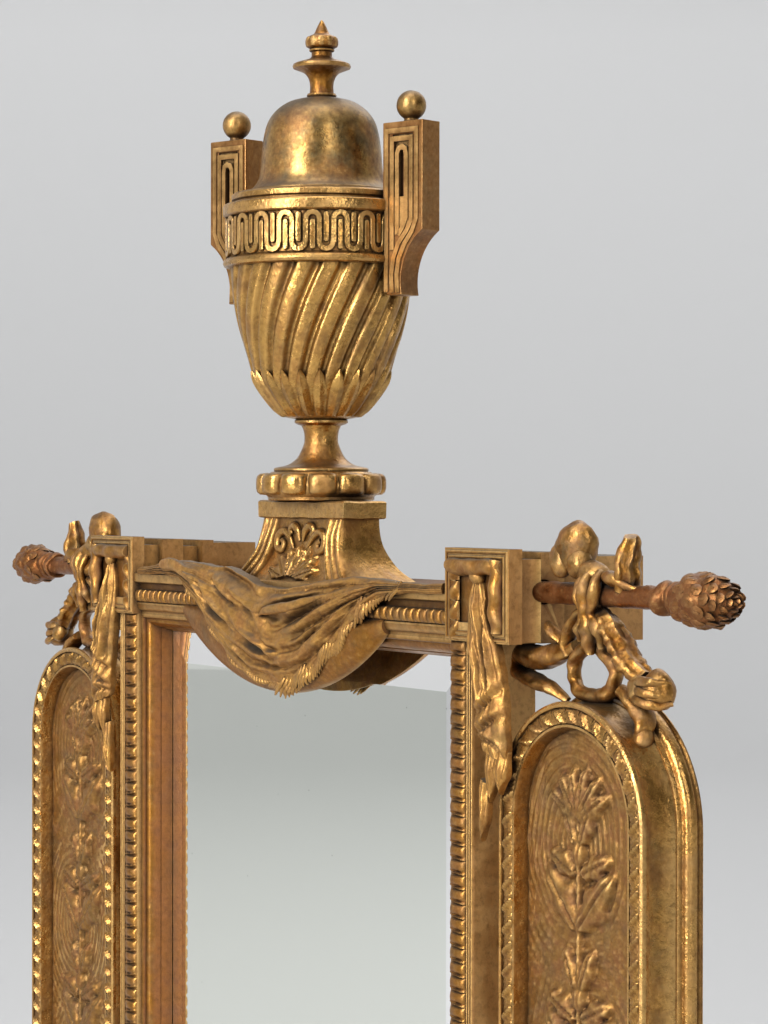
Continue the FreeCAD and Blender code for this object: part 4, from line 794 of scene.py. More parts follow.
def carved_rail(finish):
    """Top rail: a plain band, a shadow gap, a reeded bulge and a cove."""
    carving = bpy.context.scene.mirror_carving
    front, back, top, low = RAIL_LOW[1], RAIL_HIGH[1], RAIL_HIGH[2], RAIL_LOW[2]
    gap, reed_top, reed_low = front + 2.0, top - 5.0, top - 8.5
    section = [(top, back), (top, front + 0.4), (top - 0.3, front), (top - 2.6, front),
               (top - 2.9, front + 0.4), (top - 3.2, gap), (reed_top + 0.2, gap)]
    section += half_round(reed_top, reed_low, front + 1.4, front + 0.5)
    section += [(reed_low - 0.3, front + 0.9), (reed_low - 0.8, front + 0.9)]
    section += arc((reed_low - 0.8, front + 2.6), (2.0, 1.6), 270, 180, 5)
    section += [(low, front + 2.6), (low, back)]
    rows = [[(x, y, z) for z, y in section] for x in (RAIL_LOW[0], RAIL_HIGH[0])]
    rail = Shell().grid(rows, around=True, ends=True)
    pitch = mm(carving.rail_pitch)
    middle = (reed_top + reed_low) / 2
    line = [(RAIL_LOW[0] + pitch / 2, front + 0.7, middle), (RAIL_HIGH[0] - pitch / 2, front + 0.7, middle)]
    return rail.join(row_along(line, pitch, tile(pitch, (reed_top - reed_low) / 2, rail_reed), finish))


def carved_stile(finish):
    """Right stile: a fillet, a row of leaves, a groove and three reeds."""
    pitch = mm(bpy.context.scene.mirror_carving.stile_pitch)
    inner, outer, front, back = STILE_LOW[0], STILE_HIGH[0], STILE_LOW[1], STILE_HIGH[1]
    section = [(inner, back), (inner, front + 1.6), (inner + 0.3, front + 1.2), (inner + 0.8, front + 1.2)]
    section += half_round(inner + 0.9, inner + 6.6, front + 1.9, front + 0.9)
    section += [(inner + 6.8, front + 2.2), (inner + 7.3, front + 2.2)]
    edges = np.linspace(inner + 7.4, outer, 4)
    for start, end in zip(edges[:-1], edges[1:]):
        section += half_round(start + 0.12, end - 0.12, front + 1.3, front + 0.6, 7)
    section += [(outer, front + 1.5), (outer, back)]
    rows = [[(x, y, z) for x, y in section] for z in (STILE_HIGH[2], STILE_LOW[2])]
    stile = Shell().grid(rows, around=True, ends=True)
    line = [(inner + 3.7, front + 1.0, STILE_HIGH[2] - pitch / 2),
            (inner + 3.7, front + 1.0, STILE_LOW[2] + pitch / 2)]
    return stile.join(row_along(line, pitch, tile(pitch, 3.3, stile_bead, (19, 11)), finish))


def sight_moulding():
    """Reveal round the glass: lip, groove, broad ovolo, groove and a sloping flat."""
    front, back = SIGHT_LOW[1], SIGHT_HIGH[1]
    right, top, low = SIGHT_HIGH[0], SIGHT_HIGH[2], SIGHT_LOW[2]
    section = [(0, back), (0, front), (-1.0, front), (-1.3, front + 0.5), (-1.3, front + 0.9)]
    section += [(-1.5 - 2.4 * math.sin(t), front + 4.6 - 3.7 * math.cos(t))
                for t in np.linspace(0.05, 1.4, 8)]
    section += [(-3.95, front + 4.5), (-4.2, front + 4.5), (-5.0, back - 0.4), (-5.2, back)]
    corners = [(right, low), (right, top), (-right, top), (-right, low)]
    return Shell().grid(moulded(corners, section, True), around=True, along=True)


# Coved necks between a block's steps: start and end behind its front, depth, and flare at the end
BLOCK_NECKS = ((3.9, 10.0, 2.5, 0.8), (17.0, 23.6, 3.0, 1.2))
BOLSTER_SWELLING = (0.85, 1.05, 0.95, 1.1, 0.92, 1.05, 0.8)


def corner_block(node, upper, finish):
    """A right-hand block: rounded steps with coved necks, two fillets, a ruffled edge and bolsters."""
    carving = bpy.context.scene.mirror_carving
    pitch = mm(carving.block_pitch)
    block = softened(node, mm(carving.edge_round))
    left, right, front = BLOCK_LOW[0], BLOCK_HIGH[0], BLOCK_LOW[1]
    top, low = BLOCK_HIGH[2], BLOCK_LOW[2]
    margin, inset = 0.9, 4.6
    ornament = Shell()
    edge = [(left + margin, low + margin), (right - margin, low + margin), (right - margin, top - margin),
            (left + margin, top - margin)]
    for inward in (0.0, -1.25):
        fillet = half_round(inward + 0.5, inward - 0.5, front + 0.1, front - 0.4, 5)
        ornament.grid(moulded(edge, fillet, True), around=True, along=True)
    line = [(left + 3.9, front, low + 2.6), (left + 3.9, front, top - 5.6)]
    ornament.join(row_along(line, pitch, tile(pitch, 2.0, block_ruffle), finish))
    for start, end, side in (((left + 2.4, top - inset), (right - 2.4, top - inset), (0, 0, 1)),
                             ((right - inset, top - 2.6), (right - inset, low + 2.6), (1, 0, 0))):
        middle = ((start[0] + end[0]) / 2, (start[1] + end[1]) / 2)
        path = [(x, front - proud, z) for (x, z), proud in ((start, 0.1), (middle, 0.5), (end, 0.1))]
        ornament.join(lumpy(roll(path, (2.1, 1.9), BOLSTER_SWELLING, side, 14), 0.4, 1.3))
    share = np.linspace(0, 1, 12)
    for start, end, deep, flare in BLOCK_NECKS:
        root = right - deep - 1.5
        hollow = zip(right - deep + 0.05 + (deep - flare) * share ** 3,
                     front + start + (end - start) * share)
        cove = [(root, front + start), *hollow, (root, front + end)]
        ornament.grid([[(x, y, z) for x, y in cove] for z in (low + 0.2, top - deep)], around=True,
                      ends=True)
    if not upper:
        middle = ((left + right) / 2, front + 0.9, (top + low) / 2)
        petal = Shell().bead((0, -2.9, 0), (1.2, 2.6, 0.8), 8, 5)
        rosette = grown("ring", circle(0.2, 0, (0, 0), 32), finish, closed=True, ornament=petal, Count=8)
        flat = rosette.points[:, [0, 2, 1]] * np.array((1, 1, -1))
        ornament.add(flat + np.array(middle), rosette.faces)
        ornament.bead((middle[0], middle[1] - 0.5, middle[2]), (1.5, 1.2, 1.5), 12, 7)
        ornament = ornament.mirrored(2, MIDDLE_Z)
    return block.join(ornament)


def lunette():
    """Smooth boss that hangs from the rail behind the drapery."""
    half, top, low = LUNETTE_HIGH[0], LUNETTE_HIGH[2], LUNETTE_LOW[2]
    radius = (half ** 2 + (top - low) ** 2) / (2 * (top - low))
    back = LUNETTE_HIGH[1]
    rows = []
    for drop in np.linspace(0, 1, 22):
        share = 1 - (1 - drop) ** 1.4
        row = []
        for x in np.linspace(-half, half, 60):
            edge = low + radius - math.sqrt(max(radius ** 2 - x ** 2, 0))
            z = top + 4.0 + (edge - top - 4.0) * share
            inside = min(1.0, (z - edge) / 12.0)
            over = max(0.0, (z - top + 2.0) / 6.2)
            swell = math.sqrt(max(0.0, 1 - (1 - inside) ** 2)) * math.sqrt(1 - over ** 2)
            row.append((x, back - 0.4 - 4.6 * swell, z))
        rows.append(row)
    front = np.array(rows)
    rear = front.copy()
    rear[..., 1] = back
    return Shell().grid(np.concatenate([front, rear[::-1]]), along=True, sides=True)


# Drapery

def creased(front, lines):
    """Sinks a crease along each line, and raises the cloth beside it where a fold laps over.

    A line is (depth, width, points).
    """
    for deep, wide, points in lines:
        path = smooth_line(points, 10)
        step = np.gradient(path, axis=0)
        gap_x = front[..., 0, None] - path[:, 0]
        gap_z = front[..., 2, None] - path[:, 1]
        near = np.argmin(gap_x ** 2 + gap_z ** 2, -1)
        gap_x = front[..., 0] - path[near, 0]
        gap_z = front[..., 2] - path[near, 1]
        side = np.sign(gap_z * step[near, 0] - gap_x * step[near, 1])
        gap = side * np.hypot(gap_x, gap_z)
        fade = np.sin(math.pi * (near + 0.5) / len(path)) ** 0.5
        lap = 0.75 * np.exp(-((gap - 1.7 * wide) / (1.4 * wide)) ** 2)
        front[..., 1] += deep * fade * (np.exp(-(gap / wide) ** 2) - lap)


def draped(stations, folds, base, steps, across, shift=0.0, thick=0.8, lines=()):
    """A cast cloth between two edges, and its front rows.

    A station is (edge x, z, other edge x, z, swell, fold height). Folds run along the cloth and wander a
    little; the edges lie close to what carries it.
    """
    line = smooth_line(stations, steps)
    share = np.linspace(0, 1, across)[None, :]
    along = np.linspace(0, 1, len(line))[:, None]
    x = line[:, 0:1] + (line[:, 2:3] - line[:, 0:1]) * share
    z = line[:, 1:2] + (line[:, 3:4] - line[:, 1:2]) * share
    arch = np.sin(math.pi * share) ** 0.6
    drift = share + 0.05 * np.sin(ROUND * share + 5 * along) + 0.03 * np.sin(9 * along + 11 * share)
    fold = (0.5 - 0.5 * np.cos(ROUND * (folds * drift + shift + 0.2 * np.sin(4 * along)))) ** 0.75
    fine = 0.5 - 0.5 * np.cos(ROUND * (folds * 2.7 * drift + 1.3 * along))
    swell = line[:, 4:5] * (0.35 + 0.65 * arch)
    y = base - swell - line[:, 5:6] * (fold * (0.25 + 0.75 * arch) + 0.22 * fine * arch)
    front = np.stack([x, y, z], -1)
    creased(front, lines)
    front[..., 1] = np.minimum(front[..., 1], base - 0.2)
    rear = front.copy()
    rear[..., 1] = base + thick
    return Shell().grid(np.concatenate([front, rear[:, ::-1]], 1), around=True, ends=True), front


def roll(points, section, widths, side=(0, 0, 1), steps=6):
    """A roll of cloth or ribbon along points in space, with its half sizes and its swelling along."""
    path = smooth_line(points, steps)
    turn = np.linspace(0, ROUND, 16, endpoint=False)
    oval = np.stack([section[0] * np.cos(turn), section[1] * np.sin(turn)], -1)
    share = np.interp(np.linspace(0, 1, len(path)), np.linspace(0, 1, len(widths)), widths)
    return Shell().grid(swept(path, oval, side, share), around=True, ends=True)


def lumpy(shell, amount, grain):
    """The same shell with the unevenness of a hand-finished casting."""
    x, y, z = shell.points.T
    shell.points = shell.points + amount * np.stack([
        ripple(y + 7, z, grain), ripple(x, z + 3, grain), ripple(x + 5, y, grain)], -1)
    return shell


# Upper edge x, z and hem x, z of the swag from left to right, its swell and the height of its folds
SWAG_STATIONS = (
    (-79.0, 8.0, -79.0, 6.0, 0.6, 0.2), (-66.0, 9.2, -66.0, 6.4, 1.8, 0.4),
    (-58.0, 10.4, -57.0, 6.2, 2.8, 0.6), (-49.0, 10.6, -50.0, 5.0, 3.2, 0.7),
    (-40.0, 10.2, -44.0, 1.2, 3.4, 0.7), (-31.0, 9.6, -37.6, -4.0, 3.6, 0.6),
    (-22.0, 9.2, -30.6, -9.6, 3.8, 0.6), (-13.0, 7.2, -23.0, -15.0, 4.0, 0.6),
    (-3.0, 5.0, -13.0, -19.2, 4.2, 0.6), (6.0, 4.6, -2.0, -21.6, 4.2, 0.6),
    (14.0, 5.2, 9.0, -21.9, 4.0, 0.6), (22.0, 6.3, 18.0, -19.6, 3.8, 0.6),
    (31.0, 7.6, 26.0, -14.8, 3.6, 0.6), (40.0, 8.4, 34.5, -9.0, 3.2, 0.6),
    (48.0, 8.5, 43.0, -2.8, 2.8, 0.6), (57.0, 8.2, 53.0, 3.2, 2.2, 0.5), (68.0, 7.7, 66.0, 5.0, 1.4, 0.3),
    (82.0, 8.0, 82.0, 5.4, 0.8, 0.2),
)
# Depth, width and (x, z) points of each crease of the swag
SWAG_CREASES = (
    (2.2, 1.0, ((-19.3, -4.2), (-10.9, -8.8), (-2.8, -11.9), (4.2, -14.3), (8.5, -14.1))),
    (1.0, 0.7, ((-1.1, -8.9), (4.2, -11.3), (7.9, -11.9))),
    (2.0, 1.0, ((-14.0, -13.0), (-2.8, -15.7), (7.9, -16.5), (16.8, -15.5), (23.5, -12.5), (33.5, -8.6))),
    (2.1, 1.1, ((12.6, -9.8), (20.9, -6.5), (31.0, -1.6), (43.4, 2.7), (54.0, 5.8))),
    (2.0, 1.0, ((1.0, -4.7), (6.3, -6.1), (13.1, -4.2), (20.9, -1.2), (31.0, 1.8), (44.3, 5.0))),
    (1.4, 0.9, ((-1.2, -2.4), (5.2, 0.0), (15.7, 1.5), (28.5, 3.5), (39.4, 6.4))),
    (1.2, 0.8, ((-2.8, 3.4), (7.9, 3.4), (20.9, 4.6), (36.0, 6.0), (50.6, 7.2))),
    (2.2, 1.5, ((-30.6, 9.4), (-17.4, 6.6), (-6.5, 3.2))),
    (2.0, 1.0, ((-36.8, 4.6), (-31.6, 0.0), (-25.9, -3.4), (-18.6, -6.5))),
    (2.0, 1.0, ((-29.9, 6.2), (-22.0, 1.4), (-12.0, -2.1))),
    (1.6, 0.9, ((-54.0, 8.4), (-46.0, 7.0), (-38.0, 2.0), (-31.0, -4.6), (-25.0, -8.8))),
    (1.6, 0.9, ((26.0, -11.6), (33.0, -6.4), (40.0, -1.0), (48.0, 3.4))),
    (1.8, 1.6, ((0.0, -2.6), (7.4, -3.6), (13.7, -2.9))),
    (1.3, 0.8, ((-27.0, -8.4), (-18.0, -13.4), (-8.0, -17.8), (4.0, -19.4))),
    (1.2, 0.8, ((-22.0, 4.6), (-14.0, 0.4), (-7.0, -2.4), (-2.0, -6.0))),
    (1.3, 0.8, ((8.0, -12.6), (18.0, -10.4), (27.0, -5.4), (37.0, -0.4))),
    (1.1, 0.8, ((6.0, -18.6), (15.0, -17.6), (22.0, -14.2))),
)
# First and last station of each row of fringe, its lift off the hem, its share of the full drop and its lean
SWAG_FRINGES = ((46, 116, 0.9, 0.4, 0.8), (112, 186, 0.6, 0.65, -1.3), (120, 192, 2.2, 1.0, -1.7))
# Points (x, behind the rail's front, z) and half width of the rolled bunches
SWAG_ROLLS = (
    (((-2, -4.2, -3.0), (4, -5.6, -1.4), (12, -5.8, -0.6), (22, -5.0, 1.4), (34, -3.4, 4.2)), 1.3),
    (((-66, -0.6, 7.4), (-60, -2.6, 9.4), (-52, -3.6, 9.6), (-44, -3.6, 7.2), (-38, -3.2, 2.6)), 1.7),
)


def strand(drop, lean):
    """One flat strand of the fringe, that leans along its row as it hangs."""
    path = [(0, 0.1, 0.9), (0.2 * lean, -0.35, -0.25 * drop), (0.65 * lean, -0.35, -0.65 * drop),
            (lean, 0.2, -drop)]
    section = [(0.55 * math.cos(t), 0.45 * math.sin(t)) for t in np.linspace(0, ROUND, 6, endpoint=False)]
    swelling = (0.7, 1.0, 1.2, 1.1, 1.0, 0.8, 0.4)
    return Shell().grid(swept(smooth_line(path, 2), section, (1, 0, 0), swelling), around=True, ends=True)


def swag(finish):
    """Drapery over the top rail: folds from gather to gather, rolled bunches and a fringe along the hem."""
    drapery = bpy.context.scene.mirror_drapery
    cloth, front = draped(SWAG_STATIONS, drapery.folds, RAIL_LOW[1] - 0.3, 12, 90, 0.15, lines=SWAG_CREASES)
    pitch, drop = mm(drapery.fringe_pitch), mm(drapery.fringe_drop)
    for first, last, lift, share, lean in SWAG_FRINGES:
        hem = Shell().add(front[first:last, -1] + np.array((0, -0.15 * lift, lift)), [])
        tassel = strand(drop * share, drop * share * lean)
        cloth.join(row_along(lumpy(hem, 0.8, 2.2).points, pitch * (0.65 + 0.45 * share), tassel, finish))
    for points, wide in SWAG_ROLLS:
        path = np.array(points) + np.array((0, RAIL_LOW[1], 0))
        cloth.join(roll(path, (wide, 1.2), (0.2, 0.9, 1.1, 0.9, 0.2)))
    return lumpy(lumpy(cloth, 0.18, 2.1), 0.08, 0.9)


TAIL_STATIONS = (
    (95.4, 10.4, 97.6, 10.8, 1.0, 0.3), (93.6, 5.0, 100.0, 5.4, 1.6, 0.8),
    (93.2, -1.0, 102.6, -1.6, 2.0, 1.0), (93.6, -8.0, 105.8, -8.0, 2.2, 1.1),
    (95.0, -14.5, 107.4, -15.0, 2.2, 1.0), (96.3, -22.0, 108.6, -22.4, 2.4, 0.5),
    (97.0, -28.0, 108.8, -28.4, 2.2, 0.5), (98.6, -31.0, 108.6, -34.6, 1.4, 0.6),
)
TAIL_CREASES = (
    (1.1, 0.7, ((96.2, 5.8), (97.0, -6.0), (98.4, -16.7), (100.0, -20.4))),
    (1.1, 0.7, ((99.4, 4.7), (101.2, -4.6), (104.2, -17.7))),
    (1.3, 0.8, ((96.4, -22.6), (100.4, -21.4), (104.7, -19.0), (107.6, -16.0))),
    (1.3, 0.8, ((97.0, -27.6), (102.0, -25.6), (108.6, -22.6))),
    (1.2, 0.7, ((97.4, -29.4), (101.0, -28.6), (104.7, -30.1), (108.0, -33.4))),
)
# Two upper corners and the hanging tip of each pointed end
TAIL_POINTS = (
    ((100.4, -30.6), (104.8, -32.2), (101.4, -44.0)), ((104.0, -31.6), (108.8, -34.0), (105.6, -42.0)),
    ((97.6, -41.0), (101.0, -42.0), (98.2, -54.0)),
)


def drape_tail():
    """Tail of drapery on the right block: folds from a knot, a wrapped cuff and three pointed ends."""
    base = BLOCK_LOW[1] + 0.9
    tail, _ = draped(TAIL_STATIONS, 4, base, 12, 56, 0.1, lines=TAIL_CREASES)
    for foot, tip, hang in TAIL_POINTS:
        point = [(foot[0], foot[1] + 2.4, tip[0], tip[1] + 2.4, 1.0, 0.4),
                 (foot[0], (foot[1] + hang[1]) / 2, tip[0], (tip[1] + hang[1]) / 2 + 1.0, 1.3, 0.6),
                 (hang[0], hang[1], (hang[0] + tip[0]) / 2, hang[1] + 2.8, 0.7, 0.3)]
        tail.join(draped(point, 2, base, 10, 20, 0.2)[0])
    tail.bead((96.8, base - 0.8, 10.2), (2.4, 1.8, 2.0), 12, 8)
    return lumpy(lumpy(tail, 0.2, 1.9), 0.12, 0.9)


# Wings

def arch_path(half, low, steps=40):
    """Outline of an arch with a flat foot, round to the left over the top; points are (x, z)."""
    turn = np.linspace(0, math.pi, steps)
    over = [(WING_X + half * math.cos(t), WING_SPRING + half * math.sin(t)) for t in turn]
    return [(WING_X + half, low)] + over + [(WING_X - half, low)]


def wing_frame(finish):
    """Arched frame: fillet, groove, ribbon on a rod, fillet and a hollow down to the panel."""
    pitch = mm(bpy.context.scene.mirror_carving.ribbon_pitch)
    front, back = WING_LOW[1], WING_HIGH[1]
    section = [(0, back), (-0.2, front + 8.2), (-0.9, front + 6.0), (-0.9, front + 3.4),
               (-0.2, front + 1.6), (0, front + 0.9), (-0.2, front + 0.3), (-0.8, front),
               (-1.4, front + 0.2), (-1.7, front + 1.3)]
    section += [(-3.5 + 1.8 * math.cos(t), front + 1.3 - 0.9 * math.sin(t))
                for t in np.linspace(0.1, math.pi - 0.1, 9)]
    section += [(-5.4, front + 1.3), (-5.5, front + 0.6), (-6.1, front + 0.6), (-6.3, front + 1.6),
                (-6.6, front + 3.2), (-7.0, front + 4.6), (-7.0, back)]
    outline = arch_path(WING_HALF, WING_LOW[2])
    ring = Shell().grid(moulded(outline, section, True), around=True, along=True)
    middle = WING_HALF - 3.5
    line = [(x, front + 0.5, z) for x, z in arch_path(middle, WING_LOW[2] + 3.5, 60)]
    return ring.join(row_along(line + line[:1], pitch, tile(pitch, 1.9, ribbon_turn, (19, 9)), finish))


def wing_plate():
    """Plate behind the arched frame, with a hollow and a rounded rim."""
    front, back = PLATE_LOW[1], PLATE_HIGH[1]
    lip = PLATE_HIGH[0] - WING_HIGH[0]
    section = [(-3, front - 0.2), (0.3, front - 0.2), (0.5, front + 0.1), (0.7, front + 0.9),
               (1.2, front + 1.1)]
    section += [(1.2 + (lip - 1.2) * math.sin(t), front + 3.0 - 1.9 * math.cos(t))
                for t in np.linspace(0.15, math.pi - 0.5, 9)]
    section += [(lip - 0.3, front + 5.2), (lip, front + 5.4), (lip, back - 2.0), (lip - 3.0, back),
                (-3, back)]
    rows = moulded(arch_path(WING_HALF, WING_LOW[2]), section, True)
    return Shell().grid(rows, along=True, sides=True)


def leaf_height(x, z, foot, turn, long, wide, tall):
    """Height of a veined leaf that grows from a foot point at an angle."""
    dx, dz = x - foot[0], z - foot[1]
    along = (dx * math.cos(turn) + dz * math.sin(turn)) / long
    side = (dz * math.cos(turn) - dx * math.sin(turn)) / wide
    reach = np.clip(along, 0, 1)
    edge = np.maximum(np.sin(math.pi * reach ** 0.75) * (1 + 0.16 * np.sin(18 * reach)), 1e-3)
    inside = np.clip(1 - (side / edge) ** 2, 0, 1)
    vein = 0.35 * np.exp(-(side / 0.09) ** 2)
    return np.where((along > 0) & (along < 1),
                    tall * (inside ** 0.5) * (1 - vein) * np.clip(4 * (1 - along), 0, 1), 0)


# Leaves on each side of a joint of the stem: out from it, up from it, lean, length, width and height
PANEL_LEAVES = ((0.0, 0.0, 42, 21, 4.6, 1.6), (1.0, 13.0, 66, 13, 3.0, 1.4), (1.0, 20.0, 24, 12, 2.6, 1.5))
RIPPLE_CENTRES = ((-3.0, -52.0), (4.0, -104.0), (-4.0, -156.0), (3.0, -205.0))


def relief_panel():
    """Panel with a rippled ground and a stem of leaves and buds up its middle."""
    half = (PANEL_HIGH[0] - PANEL_LOW[0]) / 2
    front, back, low, top = PANEL_LOW[1], PANEL_HIGH[1], PANEL_LOW[2], PANEL_HIGH[2]
    z = np.linspace(low, top - 0.05, 380)[:, None]
    spread = np.where(z < WING_SPRING, half, np.sqrt(np.maximum(half ** 2 - (z - WING_SPRING) ** 2, 0)))
    x = np.linspace(-1, 1, 110)[None, :] * spread
    z = z + 0 * x
    height = np.zeros_like(x)
    for centre in RIPPLE_CENTRES:
        reach = np.hypot((x - centre[0]) * 1.25, z - centre[1])
        near = np.exp(-(reach / 30.0) ** 2)
        height += 0.4 * near * np.sin(ROUND * reach / 2.5 + 1.6 * ripple(x, z, 5.0))
    height += 0.14 * ripple(x, z, 3.2) + 0.1 * ripple(z, x, 1.4)
    leaves = 1.1 * np.clip(1 - (x / 0.9) ** 2, 0, 1) ** 0.5 * (z < -44) * (z > -214)
    for foot in np.arange(-208.0, -60.0, 34.0):
        for side in (-1, 1):
            for out, up, lean, long, wide, tall in PANEL_LEAVES:
                turn = math.radians(90 - side * lean)
                leaf = leaf_height(x, z, (side * out, foot + up), turn, long, wide, tall)
                leaves = np.maximum(leaves, leaf)
        bud = np.clip(1 - ((x / 2.6) ** 2 + ((z - foot - 18) / 3.6) ** 2), 0, 1) ** 0.5
        leaves = np.maximum(leaves, 1.8 * bud * (1 - 0.18 * np.abs(np.sin(x * 2.4))))
    for angle in np.radians(np.arange(30, 151, 24)):
        leaves = np.maximum(leaves, leaf_height(x, z, (0, -46.0), angle, 14, 2.6, 1.5))
    height = np.maximum(height, 1.35 * leaves + 0.25 * height)
    rim = np.minimum(1, np.minimum((spread - np.abs(x)) / 1.5, (z - low) / 1.5)).clip(0, 1)
    panel = Shell()
    panel.relief(np.stack([x + WING_X, front - height * rim, z], -1))
    slab = arch_path(half - 0.1, low + 0.1)
    rows = np.array([[(px, y, pz) for px, pz in slab] for y in (front + 0.2, back)])
    return panel.grid(rows, around=True, ends=True)


# Rods, cones and bows

# Distance from the middle of the object and radius of the collar and the cone
CONE_PROFILE = ((149.8, 2.6), (154.4, 2.6), (154.9, 3.7), (156.3, 4.1), (157.7, 3.5), (158.5, 2.9),
                (159.3, 3.0), (159.9, 3.8), (160.8, 4.0), (161.6, 3.8), (163.0, 4.6), (166.5, 5.7),
                (170.5, 6.1), (174.5, 5.5), (178.0, 3.8), (180.0, 1.9), (180.8, 0.2))


def along_rod(profile, steps=40):
    """Rows turned round the rod's axis; profile points are (x, radius)."""
    profile = np.asarray(profile, float)
    turn = np.linspace(0, ROUND, steps, endpoint=False)
    y = ROD_Y + profile[:, 1:] * np.cos(turn)
    z = ROD_Z + profile[:, 1:] * np.sin(turn)
    return np.stack([np.repeat(profile[:, :1], steps, 1), y, z], -1)


def pine_cone(finish):
    """Turned collar and a cone whose scales follow the golden angle."""
    drapery = bpy.context.scene.mirror_drapery
    profile = smooth_line(CONE_PROFILE, 4)
    cone = Shell().grid(along_rod(profile), around=True, ends=True)
    scale = Shell()
    scale.bead((0.0, 0, -0.35), (2.5, 1.7, 0.62), 10, 5, -0.03)
    scale.bead((0.4, 0, 0.05), (1.5, 0.45, 0.4), 6, 4, -0.03)
    line = [(x, 0, radius) for x, radius in profile[profile[:, 0] > 164.0]]
    scales = grown("cone", line, finish, ornament=scale, Count=drapery.cone_scales, Full_radius=6.0 * MM)
    return lumpy(cone.join(scales, (0, ROD_Y, ROD_Z)), 0.4, 1.3)


def bow_rod():
    """Rod out of the block, a little uneven from casting."""
    radius = (ROD_HIGH[2] - ROD_LOW[2]) / 2 - 0.3
    places = np.linspace(ROD_LOW[0], ROD_HIGH[0], 24)
    profile = [(x, radius + 0.12 * math.sin(x * 0.9)) for x in places]
    profile = [(places[0], 0.1), *profile, (places[-1], 0.1)]
    return Shell().grid(along_rod(profile, 32), around=True, ends=True)


def ribbon(points, width, thick, widths, depth=0.0):
    """A cast ribbon along points (x, z) at the rod's depth, with two creases along it."""
    path = smooth_line([(x, ROD_Y + depth, z) for x, z in points], 7)
    turn = np.linspace(0, ROUND, 24, endpoint=False)
    crease = 0.8 + 0.2 * np.cos(7 * turn) * np.abs(np.sin(turn))
    section = np.stack([width / 2 * np.cos(turn), thick / 2 * np.sin(turn) * crease], -1)
    share = np.interp(np.linspace(0, 1, len(path)), np.linspace(0, 1, len(widths)), widths)
    return Shell().grid(swept(path, section, (0, 1, 0), np.stack([share, 0.45 + 0.55 * share], -1)),
                        around=True, ends=True)


# Places on the right bow are (x, behind the rod's axis, above the bow's heart)
BOW_EGGS = (
    ((122.2, 0.0, 12.4), (6.2, 4.6, 6.4), (24, 16), 0.25),
    ((119.4, -2.0, 9.6), (3.4, 2.8, 4.3), (18, 12), -0.1),
    ((125.6, -1.4, 8.4), (3.4, 3.0, 3.6), (16, 10), 0.3),
    ((129.4, -0.4, 6.2), (5.4, 3.6, 3.0), (18, 12), 0.0),
    ((153.2, 0.0, -20.0), (4.7, 4.1, 4.8), (20, 14), 0.2),
    ((148.6, -2.4, -19.2), (3.0, 2.2, 3.0), (14, 10), 0.4),
    ((148.4, 0.0, -31.0), (2.3, 2.6, 2.4), (14, 10), 0.0),
)
# Points, half sizes and swelling of the loose ends
BOW_TAILS = (
    (((120.0, 0.0, -13.0), (119.6, -0.6, -9.4), (123.0, -1.6, -5.4), (128.0, -2.0, -2.4)),
     (2.0, 1.4), (0.8, 1.1, 1.0, 0.7)),
    (((119.0, 0.0, -10.4), (114.4, -0.6, -8.4), (110.2, 0.0, -5.8)),
     (1.9, 1.0), (0.9, 1.1, 0.35)),
    (((98.6, 0.0, -15.2), (102.0, -0.4, -14.0), (107.6, -0.4, -14.6), (113.4, 0.0, -14.0),
      (118.0, 0.4, -12.4), (122.6, 0.2, -11.0)),
     (3.2, 2.9), (0.6, 1.0, 1.05, 0.95, 0.75, 0.55)),
    (((98.4, 0.0, -15.2), (99.6, -0.4, -18.4), (106.4, -0.6, -20.0), (112.8, 0.0, -22.0),
      (117.6, 0.6, -24.6)),
     (2.5, 1.7), (0.8, 1.0, 1.1, 0.9, 0.4)),
    (((139.6, 0.0, -20.6), (143.6, 0.4, -22.6), (147.8, 0.2, -26.6), (148.4, 0.0, -31.0)),
     (2.8, 1.9), (0.7, 1.1, 1.0, 0.7)),
)
BOW_STRIP = ((141.6, 2.4), (142.2, 6.8), (142.6, 11.4), (143.0, 15.2))
BOW_BAND = ((131.6, -2.6), (135.6, -5.0), (139.6, -9.4), (144.2, -14.0), (148.6, -17.4))
BOW_KNOT = ((125.4, 2.7), (126.0, 3.5), (128.4, 4.1), (131.0, 4.0), (132.6, 3.4), (133.2, 2.7))


